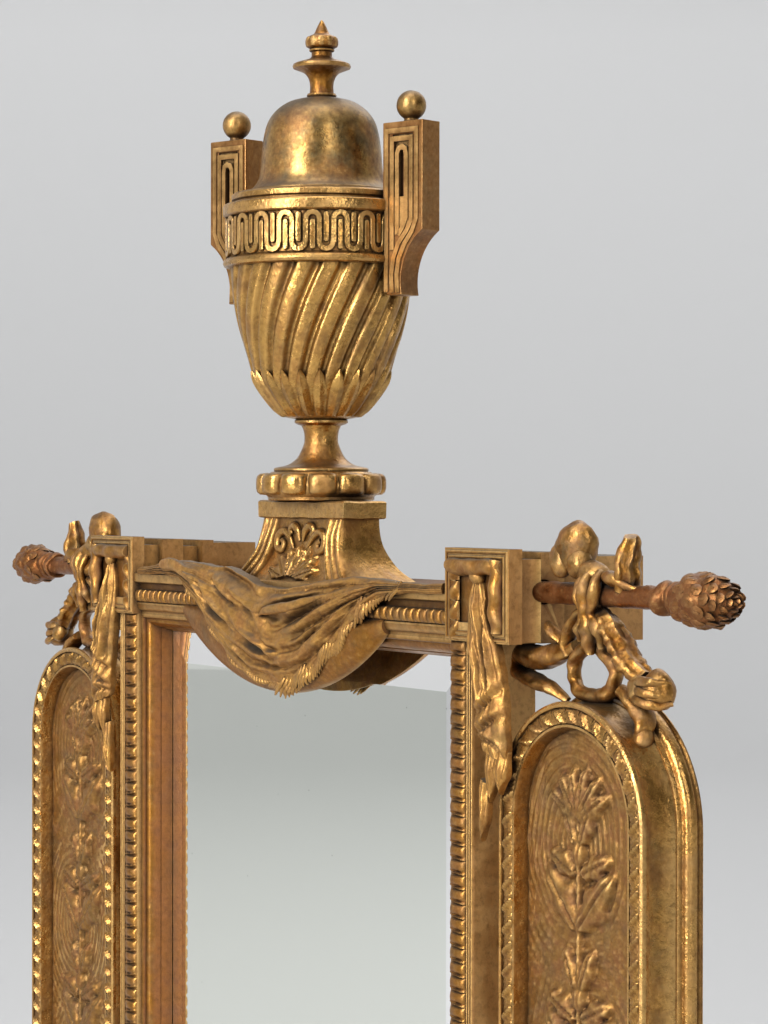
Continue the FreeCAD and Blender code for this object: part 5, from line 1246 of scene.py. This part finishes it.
def ribbon_bow():
    """Bow on the right rod: a full loop, a folded end, a knot, a ring, a ribbed band and loose ends."""
    wide = mm(bpy.context.scene.mirror_drapery.ribbon_width)
    heart = np.array((0, ROD_Y, ROD_Z - 1.3))
    backward = (0, 1, 0)
    bow = Shell()
    for centre, radii, steps, tilt in BOW_EGGS:
        bow.bead(heart + centre, radii, *steps, tilt)
    for points, section, widths in BOW_TAILS:
        bow.join(roll(heart + points, section, widths, backward))
    bow.join(ribbon([(x, heart[2] + z) for x, z in BOW_STRIP], 0.74 * wide, 5.0, (0.9, 1.1, 0.9, 0.5)))
    folded = ((134.4, -0.6, 6.0), (140.0, -2.4, 5.2), (147.4, -1.4, 3.2))
    bow.join(roll(heart + folded, (1.5, 1.5), (0.8, 1.2, 0.25)))
    bow.grid(along_rod(smooth_line(BOW_KNOT, 4), 40), around=True, ends=True)
    for side, foot, thick in ((-2.6, -9.6, 1.2), (0.2, -12.4, 1.9), (3.6, -11.0, 1.4)):
        gather = ((130.6 + 0.8 * side, -1.0, 7.0), (131.2 + side, -4.2, 3.0),
                  (130.6 + 0.5 * side, -3.6, -2.8), (131.2 + 1.2 * side, -3.4, -6.6),
                  (131.0 + 1.3 * side, -2.4, foot))
        bow.join(roll(heart + gather, (thick, thick), (0.8, 1.1, 0.8, 1.2, 0.6), (1, 0, 0)))
    turn = np.linspace(0, ROUND, 17)[:-1]
    ring = [(128.7 + 8.2 * math.cos(t), 0.4, -17.0 + 6.0 * math.sin(t)) for t in turn]
    bow.join(roll(heart + (ring + ring[:2]), (1.9, 1.6), (1.0, 1.1, 0.9, 1.0, 1.15, 1.0), backward, 4))
    share = np.linspace(0, 1, 61)
    swelling = np.interp(share, (0, 0.3, 0.7, 1), (0.5, 0.95, 1.05, 0.8))
    ribs = swelling * (1 + 0.09 * np.cos(ROUND * (8.5 * share + 0.6 * share ** 2)))
    bow.join(ribbon([(x, heart[2] + z) for x, z in BOW_BAND], 0.82 * wide, 5.4, ribs, -0.6))
    for lift in (-3.0, -0.4, 2.2):
        wrap = ((147.4, -2.2, -18.4 + 0.4 * lift), (151.0, -3.8, -19.4 + 0.8 * lift),
                (155.2, -3.0, -20.2 + lift), (157.4, 0.6, -20.2 + 0.9 * lift))
        bow.join(roll(heart + wrap, (1.1, 1.0), (0.5, 1.0, 1.0, 0.5)))
    return lumpy(lumpy(bow, 0.45, 2.1), 0.22, 0.8)


# Urn

# Foot, turn, length and width of the leaves that fan out on the pedestal's front
PEDESTAL_LEAVES = ((0.0, 90, 9.5, 2.3), (0.8, 64, 10.0, 2.2), (-0.8, 116, 10.0, 2.2), (2.0, 38, 10.5, 2.1),
                   (-2.0, 142, 10.5, 2.1), (3.4, 14, 10.5, 1.9), (-3.4, 166, 10.5, 1.9))
PEDESTAL_SCROLLS = (
    ((3.4, 8.4), (6.0, 11.6), (9.4, 13.2), (12.2, 11.6), (12.0, 8.8), (9.8, 8.0), (8.8, 9.8), (10.2, 10.8)),
    ((0.8, 10.6), (1.8, 13.4), (4.2, 14.8), (6.0, 13.8), (5.0, 12.4)),
)


def pedestal():
    """Concave pedestal: a slab on a bell with ribbed corners, with leaves and scrolls on its front."""
    foot_x, foot_y = SLAB_HIGH[0], (SLAB_HIGH[1] - SLAB_LOW[1]) / 2
    slab_x, slab_y = 22.5, 6.8
    low, top, under = SLAB_LOW[2], SLAB_HIGH[2], SLAB_HIGH[2] - 5.0
    waist_x, waist_y = slab_x - 1.6, slab_y - 1.2
    levels = []
    for share in np.linspace(0, 1, 60):
        flare = (1 - share) ** 2.6
        levels.append((low + (under - low) * share, waist_x + (foot_x - waist_x) * flare,
                       waist_y + (foot_y - waist_y) * flare, 1.0))
    levels += [(under + 0.1, slab_x - 0.5, slab_y - 0.4, 0.0), (under + 0.4, slab_x, slab_y, 0.0),
               (top - 0.5, slab_x, slab_y, 0.0), (top - 0.1, slab_x - 0.4, slab_y - 0.4, 0.0),
               (top, slab_x - 0.9, slab_y - 0.9, 0.0)]
    share = np.linspace(-1, 1, 121)
    rows = []
    for z, half_x, half_y, carved in levels:
        up = (z - low) / (under - low)
        ribs = 2.0 * np.abs(np.sin(math.pi * 3 * np.clip((np.abs(share) - 0.62) / 0.38, 0, 1))) ** 0.6
        x = share * half_x
        leaves = np.zeros_like(x)
        for foot, turn, long, wide in PEDESTAL_LEAVES:
            leaf = leaf_height(x, z + 0 * x, (foot, low + 1.0), math.radians(turn), long, wide, 1.5)
            leaves = np.maximum(leaves, leaf)
        carve = carved * (ribs * (0.4 + 0.6 * math.sin(math.pi * min(1, max(0, up)))) + leaves)
        front = np.stack([x, URN_Y - half_y - carve, np.full_like(x, z)], -1)
        side = np.linspace(-1, 1, 13)[1:-1]
        right = np.stack([np.full_like(side, half_x), URN_Y + side * half_y, np.full_like(side, z)], -1)
        rear = np.stack([x[::-1], np.full_like(x, URN_Y + half_y), np.full_like(x, z)], -1)
        left = right[::-1] * np.array((-1, 1, 1))
        rows.append(np.concatenate([front, right, rear, left]))
    bell = Shell().grid(np.array(rows), around=True, ends=True)
    depth = np.array([(z, half_y) for z, _, half_y, _ in levels])
    for points in PEDESTAL_SCROLLS:
        for side in (-1, 1):
            path = [(side * x, URN_Y - np.interp(low + z, depth[:, 0], depth[:, 1]) - 0.3, low + z)
                    for x, z in points]
            bell.join(roll(path, (0.95, 1.1), (0.4, 1.0, 1.2, 1.1, 0.9, 0.7), (0, 1, 0), 6))
    return lumpy(bell, 0.12, 1.7)


def lobed_ring(finish):
    """Ring of cushion lobes between two fillets."""
    lobes = bpy.context.scene.mirror_urn.lobes
    low, high = span("lobed_ring")
    base, tall, radius = low[2], high[2] - low[2], (high[0] - low[0]) / 2
    ring = Shell().grid(turned([
        (2.5, base), (14.2, base), (14.6, base + 0.3), (14.6, base + 1.0), (14.9, base + 1.3),
        (15.9, base + 2.4), (16.1, base + 4.4), (15.2, base + 6.6), (13.6, base + tall),
        (2.5, base + tall)], (0, URN_Y)),
        around=True, ends=True)
    core = 14.6
    half = math.pi * 16.4 / lobes
    lobe = Shell().pillow((0, 0, 0), (half - 0.25, 3.1), radius - core, 3.4, (11, 9))
    lobe.points[:, 1] += core - np.sqrt(np.maximum(core ** 2 - lobe.points[:, 0] ** 2, 0))
    return ring.join(ring_of(core, base + 4.5, lobes, lobe, finish, (0, URN_Y)))


def urn_foot():
    """Turned foot: a spread base, a waist and a collar under the bowl."""
    low = span("urn_foot")[0][2]
    profile = [(2.5, low), (12.7, low), (13.0, low + 0.3), (13.0, low + 0.8), (12.6, low + 1.1)]
    profile += list(smooth_line([(12.0, low + 1.2), (9.1, low + 1.9), (6.6, low + 3.8), (5.0, low + 7.0),
                                 (4.6, low + 8.8), (4.8, low + 11.0), (5.4, low + 12.6)], 5))
    profile += [(6.6, low + 13.0), (7.3, low + 13.4), (7.3, low + 14.0), (6.9, low + 14.4),
                (2.5, low + 14.4)]
    return Shell().grid(turned(profile, (0, URN_Y)), around=True, ends=True)


# Radius and height of the bowl's outline above its foot
BOWL_SHAPE = ((7.0, 0.0), (10.5, 1.0), (14.4, 5.1), (18.0, 10.6), (19.8, 16.1), (22.2, 24.0), (23.9, 32.5),
              (24.8, 41.2))


def urn_bowl(finish):
    """Bowl with twisted flutes that rise out of a ring of pointed leaves."""
    urn = bpy.context.scene.mirror_urn
    low = span("urn_bowl")[0][2]
    profile = smooth_line(BOWL_SHAPE, 8)
    line = [(radius + 0.25, 0, height + low) for radius, height in profile]
    bowl = grown("bowl", line, finish, Flutes=urn.flutes, Twist=urn.twist, Depth=urn.flute_depth,
                 Steps_round=urn.flutes * 18 + 1, Steps_up=60)
    bowl.points += np.array((0, URN_Y, 0))
    for radius, height in (profile[0], profile[-1]):
        bowl.grid(turned([(0.5, low + height), (radius, low + height)], (0, URN_Y), 48), around=True)
    base, tip = 12.0, 13.0
    high = np.linspace(0.6, tip, 9)[:, None]
    across = np.linspace(-1, 1, 7)[None, :]
    outline = np.interp(high, profile[:, 1], profile[:, 0])
    taper = np.clip((tip - high) / 5.2, 0, 1) ** 0.7
    x = across * math.pi / urn.flutes * outline * taper * 0.97
    swell = 0.95 * np.clip(1 - across ** 2, 0, 1) ** 0.5 * np.clip(taper + 0.25, 0, 1)
    rib = 0.35 * np.exp(-(across / 0.2) ** 2)
    leaf = Shell().relief(np.stack([x, base - outline - swell - rib + x ** 2 / 30, high + 0 * x], -1))
    return bowl.join(ring_of(base, low, urn.flutes, leaf, finish, (0, URN_Y)))


def wave_unit(width, low, high):
    """One wave of the frieze: a fillet that runs up, over and down again, with a tongue in each bay."""
    quarter = width / 4
    path = [(-2 * quarter, low + quarter)]
    path += [(-2 * quarter, high - quarter)]
    path += arc((-quarter, high - quarter), (quarter, quarter), 180, 0, 7)
    path += [(0, low + quarter)]
    path += arc((quarter, low + quarter), (quarter, quarter), 180, 360, 7)
    path += [(2 * quarter, low + quarter + 0.2)]
    section = [(0.85, 0.6), (0.8, -0.5), (0.6, -0.75), (-0.6, -0.75), (-0.8, -0.5), (-0.85, 0.6)]
    unit_shape = Shell().grid(moulded(path, section, False), around=True, ends=True)
    for centre, middle in ((-quarter, low + 0.4 * (high - low)), (quarter, high - 0.4 * (high - low))):
        unit_shape.pillow((centre, 0.2, middle), (0.42 * quarter, 0.44 * (high - low)), 0.95, 8.0, (7, 8))
    return unit_shape


def urn_band(finish):
    """Band with a waved frieze between plain lips, and the rim above it."""
    urn = bpy.context.scene.mirror_urn
    low, top, radius = URN_LOW[2], URN_HIGH[2], URN_HIGH[0]
    sunk = radius - 1.5
    lip_low, lip_top, rim = low + 3.0, low + 13.6, low + 17.3
    profile = [(20.0, low), (radius - 1.4, low), (radius - 0.3, low + 0.4), (radius, low + 1.1),
               (radius - 0.3, low + 2.0), (radius - 0.9, low + 2.4), (sunk, lip_low), (sunk, lip_top),
               (radius - 0.6, lip_top + 0.2), (radius - 0.1, lip_top + 0.7), (radius, rim - 0.8),
               (radius - 0.4, rim - 0.2), (radius - 1.0, rim), (24.3, rim + 0.1), (24.2, rim + 0.6),
               (24.6, rim + 1.1), (24.6, rim + 2.4), (24.1, rim + 2.9), (21.5, top), (15.0, top)]
    band = Shell().grid(turned(profile, (0, URN_Y), 120), around=True, ends=True)
    width = ROUND * (sunk + 0.1) / urn.waves
    wave = wave_unit(width, 0.4, lip_top - lip_low - 0.4)
    wave.points[:, 1] += wave.points[:, 0] ** 2 / (2 * sunk)
    return band.join(ring_of(sunk + 0.1, lip_low, urn.waves, wave, finish, (0, URN_Y)))


def urn_lid():
    """Turned dome with a flared brim."""
    low = span("urn_lid")[0][2]
    profile = [(3.0, low), (19.9, low), (19.9, low + 0.4)]
    profile += list(smooth_line([(19.7, low + 0.6), (18.4, low + 1.8), (17.3, low + 3.8), (16.8, low + 6.4),
                                 (16.4, low + 11.0), (15.8, low + 15.6), (14.7, low + 19.4),
                                 (12.6, low + 22.4), (9.4, low + 24.7), (6.2, low + 25.7),
                                 (3.9, low + 26.1)], 7))
    profile += [(3.7, low + 26.3), (2.0, low + 26.3)]
    return Shell().grid(turned(profile, (0, URN_Y), 96), around=True, ends=True)


def finial(finish):
    """Turned finial: a collar, a trumpet under a disc, a neck, a ribbed bud and a spike."""
    low = span("finial")[0][2]
    profile = [(2.0, low), (3.9, low), (4.1, low + 0.4), (3.9, low + 0.9), (3.4, low + 1.0)]
    profile += list(smooth_line([(3.3, low + 1.2), (3.2, low + 3.0), (3.6, low + 5.0), (4.8, low + 6.6),
                                 (7.2, low + 7.7)], 5))
    profile += [(7.8, low + 7.9), (8.0, low + 8.4), (7.8, low + 9.0), (7.0, low + 9.4), (5.0, low + 10.0),
                (3.4, low + 10.5), (2.8, low + 11.2), (2.8, low + 12.3), (3.4, low + 12.6),
                (3.5, low + 13.0), (3.2, low + 13.2)]
    profile += list(smooth_line([(3.0, low + 13.2), (4.2, low + 13.9), (4.5, low + 15.2), (3.9, low + 16.4),
                                 (2.2, low + 17.3)], 4))
    profile += [(1.9, low + 17.8), (1.3, low + 19.2), (0.6, low + 20.6), (0.1, low + 21.2)]
    shape = Shell().grid(turned(profile, (0, URN_Y), 48), around=True, ends=True)
    rib = Shell().bead((0, 0.25, 0), (1.25, 0.6, 1.45), 8, 6)
    return shape.join(ring_of(4.25, low + 15.1, 11, rib, finish, (0, URN_Y)))


def on_urn(points, lean, side=1):
    """Places points given as (out from the axis, to the back, up) on the turned handles' line."""
    points = np.asarray(points, float)
    out = points[..., 0] * side
    x = out * math.cos(lean) - points[..., 1] * math.sin(lean)
    y = URN_Y + out * math.sin(lean) + points[..., 1] * math.cos(lean)
    return np.stack([x, y, points[..., 2]], -1)


# Outlines of the nested fillets: out from a handle's inner edge, up from its top
HANDLE_FILLETS = (
    ((1.3, -45.2), (1.5, -28.0), (1.5, -2.4), (11.8, -2.4), (11.8, -26.0), (10.4, -29.4), (7.8, -32.6),
     (5.8, -36.4), (5.1, -40.6), (5.3, -45.4)),
    ((3.4, -34.0), (3.4, -4.6), (10.0, -4.6), (10.0, -26.6), (8.6, -29.0), (5.6, -32.4), (3.9, -36.4),
     (3.2, -40.6), (3.5, -45.4)),
    ((5.2, -30.0), (5.2, -8.4), (5.8, -7.2), (7.0, -6.8), (8.0, -7.4), (8.3, -9.0), (8.3, -25.6),
     (7.2, -28.0), (5.6, -30.2)),
)
# Flat fields between them: inner and outer side, low and high edge, and how far each lies under the face
HANDLE_INLAYS = ((2.0, 5.4, -21.0, -3.0, 0.5), (8.0, 11.4, -21.0, -3.0, 0.5), (3.0, 9.0, -7.0, -3.0, 0.5),
                 (2.2, 9.0, -28.0, -20.0, -0.05))


def handle(side_name, side):
    """Key-shaped handle: softened bar with nested fillets on both faces that run on down its scroll."""
    urn = bpy.context.scene.mirror_urn
    bar = softened(f"handle_{side_name}", 0.35)
    inner, half = 25.5, 3.6
    top = span(f"handle_{side_name}")[1][2]
    for face in (-1, 1):
        for points in HANDLE_FILLETS:
            path = [(inner + u, top + z) for u, z in points]
            ridge = moulded(path, [(0.8, 1.6), (0.68, -0.3), (-0.68, -0.3), (-0.8, 1.6)], False)
            ridge[..., 1] = face * (half - ridge[..., 1])
            bar.add(on_urn(ridge, urn.lean, side), Shell().grid(ridge, around=True, ends=True).faces)
        for left, right, low, high, sunk in HANDLE_INLAYS:
            plan = [(left, low), (right, low), (right, high), (left, high)]
            rows = np.array([[(inner + u, face * y, top + z) for u, z in plan]
                             for y in (half - sunk, half - 1.4)])
            bar.add(on_urn(rows, urn.lean, side), Shell().grid(rows, around=True, ends=True).faces)
    return bar


# Back and hardware

def slotted_screw(radius, tall, shank, deep, slot=0.7):
    """Round-headed screw along +Y: floor disc, two halves beside the slot, and the shank."""
    screw = Shell()
    floor = 0.45 * tall
    turn = np.linspace(0, ROUND, 20, endpoint=False)
    rows = [[(r * math.cos(t), y, r * math.sin(t)) for t in turn] for r, y in (
        (shank, -deep), (shank, 0.0), (radius, 0.0), (radius, floor))]
    screw.grid(rows, around=True, ends=True)
    start = math.asin(slot / 2 / radius)
    for side in (1, -1):
        rows = []
        for share, y in ((1.0, floor - 0.05), (0.97, 0.62 * tall), (0.8, 0.88 * tall), (0.5, tall)):
            rows.append([(share * radius * math.cos(t), y,
                          side * (slot / 2 + share * (radius * math.sin(t) - slot / 2)))
                         for t in np.linspace(start, math.pi - start, 12)])
        screw.grid(rows, around=True, ends=True)
    return screw


SCREW_HEAD = 2.9


def screws(name, node, places, finish, turn=(0, 0, 0), tall=1.5, radius=SCREW_HEAD, deep=8.0):
    """A group of slotted screws, one at each place."""
    shell = grown("points", places, finish, loose=True, ornament=slotted_screw(radius, tall, 1.5, deep),
                  Turn=[math.radians(a) for a in turn])
    piece(name, shell, finish, "iron", node)


def copied(names, finish, slot, soften=0.4, body=None):
    """Plain cast or cut parts: softened copies of their nodes."""
    for name in names:
        piece(f"{name}_finished", softened(name, soften), finish, slot, name, body=body or "frame")


# Stage

FLOOR_REACH, COVE_RADIUS, BACKDROP_TALL = 2200, 1400, 3600
SHADED_WAY = (0.30, 0.04, 0.0)
LIT_POINT = (0, -0.03, 0)
# Name, place, width and height in metres, and watts
LAMPS = (
    ("key", (0.4, -2.0, 0.9), (0.7, 2.2), 62.0), ("right fill", (2.2, -0.6, 0.9), (0.6, 1.8), 14.0),
    ("left card", (-2.2, -1.45, 0.0), (2.2, 2.2), 2.6), ("top", (0.0, -0.3, 2.4), (1.6, 1.6), 26.0),
    ("back", (-1.2, 1.7, 2.3), (2.4, 2.4), 33.0),
)
CAMERA_PLACE = (0.65744, -0.42974, 0.03185)
CAMERA_YAW, CAMERA_PITCH, CAMERA_TILT = math.radians(57.24), math.radians(0.51), math.radians(0.09)
LENS, SENSOR = 98.79, 36.0


def looking(place, ahead, tilt):
    """Matrix of a lamp or camera at a place that looks ahead, with a small tilt."""
    ahead = unit(np.array(ahead, float))
    right = unit(np.cross(ahead, (0, 0, 1)))
    up = np.cross(right, ahead)
    across = right * math.cos(tilt) + up * math.sin(tilt)
    rise = up * math.cos(tilt) - right * math.sin(tilt)
    matrix = Matrix.Identity(4)
    for column, vector in enumerate((across, rise, -ahead, place)):
        for row in range(3):
            matrix[row][column] = float(vector[row])
    return matrix


def pale_paper():
    """Matt studio paper: pale grey, darker where it lies level and where it turns away from the light."""
    tint = bpy.context.scene.mirror_finish
    tree = new_finish("pale_paper")
    surface = add(tree, "ShaderNodeNewGeometry")
    spot = surface.outputs["Position"]
    across = add(tree, "ShaderNodeVectorMath", [spot, SHADED_WAY], operation="DOT_PRODUCT").outputs["Value"]
    away = add(tree, "ShaderNodeMapRange", {
        "Value": across, "From Min": 0.3, "From Max": 0.95}, interpolation_type="SMOOTHSTEP")
    paper = add(tree, "ShaderNodeMix", {0: away, 6: tint.wall, 7: tint.shade}, data_type="RGBA")
    upward = add(tree, "ShaderNodeSeparateXYZ", [surface.outputs["Normal"]]).outputs["Z"]
    steep = add(tree, "ShaderNodeMath", [upward], operation="ABSOLUTE")
    level = add(tree, "ShaderNodeMapRange", {"Value": steep, "From Min": 0.3, "From Max": 1.0})
    paper = add(tree, "ShaderNodeMix", {0: level, 6: paper, 7: tint.floor}, data_type="RGBA")
    end_finish(tree, {"Base Color": paper, "Roughness": 0.9})


def set_backdrop(scene):
    """A round floor of studio paper that curves up into a wall all about."""
    floor_z = span("corner_block_bottom_right")[0][2]
    profile = [(0.0, floor_z), (FLOOR_REACH, floor_z)]
    profile += [(FLOOR_REACH + COVE_RADIUS * math.sin(t), floor_z + COVE_RADIUS * (1 - math.cos(t)))
                for t in np.linspace(0.1, math.pi / 2, 12)]
    profile += [(FLOOR_REACH + COVE_RADIUS, floor_z + BACKDROP_TALL)]
    cove = Shell().grid(turned(profile, (0, 0), 64), around=True)
    mesh = bpy.data.meshes.new("backdrop")
    mesh.from_pydata((cove.points * MM).tolist(), [], cove.faces)
    mesh.shade_smooth()
    mesh.materials.append(FINISHES["pale_paper"])
    backdrop = bpy.data.objects.new("backdrop", mesh)
    scene.collection.objects.link(backdrop)


def set_lights(scene):
    """Soft panels of light round the object, and a pale sky."""
    scene.world = bpy.data.worlds.new("studio")
    scene.world.use_nodes = True
    sky = scene.world.node_tree.nodes["Background"]
    sky.inputs["Color"].default_value = linear("#EEF1F4")
    sky.inputs["Strength"].default_value = 0.5
    scene.view_settings.view_transform = "Standard"
    for name, place, extent, power in LAMPS:
        lamp = bpy.data.lights.new(name, "AREA")
        lamp.shape = "RECTANGLE"
        lamp.energy = power
        lamp.size, lamp.size_y = extent
        holder = bpy.data.objects.new(name, lamp)
        holder.matrix_world = looking(place, np.subtract(LIT_POINT, place), 0.0)
        scene.collection.objects.link(holder)


def set_camera(scene):
    """The photograph's view: from the right, level with the top of the frame."""
    lens = bpy.data.cameras.new("camera")
    lens.lens, lens.sensor_width, lens.clip_start = LENS, SENSOR, 0.05
    camera = bpy.data.objects.new("camera", lens)
    flat = math.cos(CAMERA_PITCH)
    ahead = (-math.sin(CAMERA_YAW) * flat, math.cos(CAMERA_YAW) * flat, -math.sin(CAMERA_PITCH))
    camera.matrix_world = looking(CAMERA_PLACE, ahead, CAMERA_TILT)
    scene.collection.objects.link(camera)
    scene.camera = camera


# Operators

class MIRROR_OT_frame(bpy.types.Operator):
    """Makes the carved rails, stiles, corner blocks and the reveal round the glass."""

    bl_idname = "mirror.frame"
    bl_label = "Frame"

    def execute(self, context):
        gilt, blocks = FINISHES["gilt_bronze_frame"], FINISHES["gilt_bronze_blocks"]
        rail = carved_rail(gilt)
        piece("carved_top_rail", rail, gilt, "gilt_bronze", "top_rail")
        piece("carved_bottom_rail", rail.mirrored(2, MIDDLE_Z), gilt, "gilt_bronze", "bottom_rail")
        stile = carved_stile(gilt)
        piece("carved_right_stile", stile, gilt, "gilt_bronze", "right_stile")
        piece("carved_left_stile", stile.mirrored(), gilt, "gilt_bronze", "left_stile")
        piece("sight_reveal", sight_moulding(), gilt, "gilt_bronze", "sight_moulding")
        for level, upper in (("top", True), ("bottom", False)):
            block = corner_block(f"corner_block_{level}_right", upper, gilt)
            both_sides(f"carved_block_{level}", block, blocks, "gilt_bronze", f"corner_block_{level}")
        piece("lunette_boss", lunette(), gilt, "gilt_bronze", "lunette")
        return {"FINISHED"}


class MIRROR_OT_back(bpy.types.Operator):
    """Makes the glass, the back board and the hardware behind the frame."""

    bl_idname = "mirror.back"
    bl_label = "Glass and back"

    def execute(self, context):
        iron, brass, oak = FINISHES["oxidised_iron"], FINISHES["dull_brass"], FINISHES["aged_oak"]
        plain = dict.fromkeys(("frame_dowels", "tie_rod", "tie_nut", "hanger_pin"), "oxidised_iron")
        for node, finish in {"mirror_glass": "silvered_glass", **plain}.items():
            mesh = NODES[node].data
            mesh.materials.clear()
            mesh.materials.append(FINISHES[finish])
        copied(["back_board", "hanging_batten"], oak, "back_board_wood", 0.5)
        copied(["wing_straps"], iron, "iron", 0.3)
        copied(["hanger_plate"], brass, "plain_brass", 0.3)
        copied(["hanging_eye"], brass, "plain_brass", 0.5, "hanging_eye")
        for name in sorted(NODES):
            if name.startswith("turn_button_") and not name.endswith("screws"):
                copied([name], brass, "plain_brass", 0.4, name)
        pivot = (STILE_LOW[0] + STILE_HIGH[0]) / 2
        buttons = [span(f"turn_button_{level}_right") for level in ("top", "bottom")]
        screws("turn_screws", "turn_button_screws", [
            (x, high[1], (low[2] + high[2]) / 2) for x in (-pivot, pivot) for low, high in buttons], iron)
        low, high = span("wing_straps")
        outer = span("wing_strap_screws")[1][0] - SCREW_HEAD
        screws("strap_screws", "wing_strap_screws", [
            (x * side, high[1], z) for side in (-1, 1) for x in (pivot, outer)
            for z in (high[2] - 6.0, low[2] + 6.0)], iron)
        low, high = span("hanger_screws")
        screws("hanger_plate_screws", "hanger_screws", [
            (x, (low[1] + high[1]) / 2, low[2] + 1.5) for x in (low[0] + SCREW_HEAD, high[0] - SCREW_HEAD)],
            iron, (-90, 0, 0))
        high = span("batten_screws")[1]
        screws("batten_wood_screws", "batten_screws", [
            (x, high[1] - 1.0, 0) for x in (4.0 - high[0], high[0] - 4.0)], iron, tall=1.0, radius=3.9)
        return {"FINISHED"}


class MIRROR_OT_drapery(bpy.types.Operator):
    """Makes the swag over the rail and the tails on the blocks."""

    bl_idname = "mirror.drapery"
    bl_label = "Drapery"

    def execute(self, context):
        cloth = FINISHES["drapery_bronze"]
        piece("swag_drapery", swag(cloth), cloth, "drapery_bronze", "swag", crease=60)
        both_sides("tail_drapery", drape_tail(), cloth, "drapery_bronze", "drape_tail", crease=60)
        return {"FINISHED"}


class MIRROR_OT_wings(bpy.types.Operator):
    """Makes the arched frames, their panels and their plates."""

    bl_idname = "mirror.wings"
    bl_label = "Arched wings"

    def execute(self, context):
        gilt = FINISHES["gilt_bronze"]
        both_sides("arched_frame", wing_frame(gilt), gilt, "gilt_bronze", "wing_frame")
        both_sides("foliage_panel", relief_panel(), FINISHES["relief_bronze"], "relief_bronze",
                   "relief_panel", crease=60)
        both_sides("rimmed_plate", wing_plate(), gilt, "gilt_bronze", "wing_plate")
        return {"FINISHED"}


class MIRROR_OT_bows(bpy.types.Operator):
    """Makes the rods, the pine cones and the ribbon bows."""

    bl_idname = "mirror.bows"
    bl_label = "Rods, cones and bows"

    def execute(self, context):
        russet = FINISHES["gilt_bronze_russet"]
        both_sides("cast_rod", bow_rod(), russet, "gilt_bronze_russet", "bow_rod")
        both_sides("scaled_cone", pine_cone(russet), russet, "gilt_bronze_russet", "pinecone", crease=50)
        both_sides("tied_bow", ribbon_bow(), FINISHES["gilt_bronze_bow"], "gilt_bronze", "ribbon_bow",
                   crease=50)
        return {"FINISHED"}


class MIRROR_OT_urn(bpy.types.Operator):
    """Makes the pedestal, the urn, its lid, finial and handles."""

    bl_idname = "mirror.urn"
    bl_label = "Urn"

    def execute(self, context):
        gilt, dome, aged = FINISHES["gilt_bronze"], FINISHES["gilt_bronze_dome"], FINISHES["gilt_bronze_bow"]
        # The bowl takes the brighter copy of the gilding, painted light for its highlights.
        bowl = FINISHES["gilt_bronze_bowl_painted_light"]
        for name, shell, finish, node in (
                ("carved_pedestal", pedestal(), gilt, "pedestal"),
                ("cushion_ring", lobed_ring(gilt), gilt, "lobed_ring"),
                ("turned_foot", urn_foot(), gilt, "urn_foot"),
                ("fluted_bowl", urn_bowl(gilt), bowl, "urn_bowl"),
                ("frieze_band", urn_band(gilt), gilt, "urn_band"),
                ("domed_lid", urn_lid(), dome, "urn_lid"), ("turned_finial", finial(aged), aged, "finial")):
            piece(name, shell, finish, "gilt_bronze", node)
        for side_name, side in (("right", 1), ("left", -1)):
            piece(f"key_handle_{side_name}", handle(side_name, side), FINISHES["gilt_bronze_handles"],
                  "gilt_bronze", f"handle_{side_name}")
            low, high = span(f"handle_ball_{side_name}")
            middle = (low + high) / 2
            profile = [(0.5, low[2]), (2.3, low[2]), (2.0, low[2] + 0.4), (1.9, low[2] + 0.8)]
            profile += arc((0, high[2] - 4.0), (4.0, 4.0), -60, 89, 16)
            ball = Shell().grid(turned(profile, middle[:2], 40), around=True, ends=True)
            piece(f"turned_ball_{side_name}", ball, dome, "gilt_bronze", f"handle_ball_{side_name}")
        return {"FINISHED"}


class MIRROR_OT_stage(bpy.types.Operator):
    """Makes the floor with its coved backdrop, the lights and the camera."""

    bl_idname = "mirror.stage"
    bl_label = "Stage"

    def execute(self, context):
        pale_paper()
        set_backdrop(context.scene)
        set_lights(context.scene)
        set_camera(context.scene)
        return {"FINISHED"}


class MIRROR_PT_panel(bpy.types.Panel):
    """Lists the mirror's settings and its builders."""

    bl_idname = "MIRROR_PT_panel"
    bl_label = "Mirror"
    bl_space_type = "VIEW_3D"
    bl_region_type = "UI"
    bl_category = "Mirror"

    def draw(self, context):
        for key in GROUPS:
            column = self.layout.column()
            group = getattr(context.scene, key)
            for name in group.__annotations__:
                column.prop(group, name)
        for operator in OPERATORS:
            self.layout.operator(operator.bl_idname)


GROUPS = {"mirror_carving": MirrorCarving, "mirror_urn": MirrorUrn, "mirror_drapery": MirrorDrapery,
          "mirror_finish": MirrorFinish}
OPERATORS = (MIRROR_OT_frame, MIRROR_OT_back, MIRROR_OT_drapery, MIRROR_OT_wings, MIRROR_OT_bows,
             MIRROR_OT_urn, MIRROR_OT_stage)


def register():
    """Adds the classes and their settings to Blender."""
    for kind in (*GROUPS.values(), *OPERATORS, MIRROR_PT_panel):
        bpy.utils.register_class(kind)
    for key, kind in GROUPS.items():
        setattr(bpy.types.Scene, key, bpy.props.PointerProperty(type=kind))


def unregister():
    """Takes them out again."""
    for key in GROUPS:
        delattr(bpy.types.Scene, key)
    for kind in (MIRROR_PT_panel, *reversed(OPERATORS), *GROUPS.values()):
        bpy.utils.unregister_class(kind)


def main():
    """Makes every piece in order."""
    register()
    make_finishes()
    for operator in OPERATORS:
        group, name = operator.bl_idname.split(".")
        getattr(getattr(bpy.ops, group), name)()


if __name__ == "__main__":
    main()
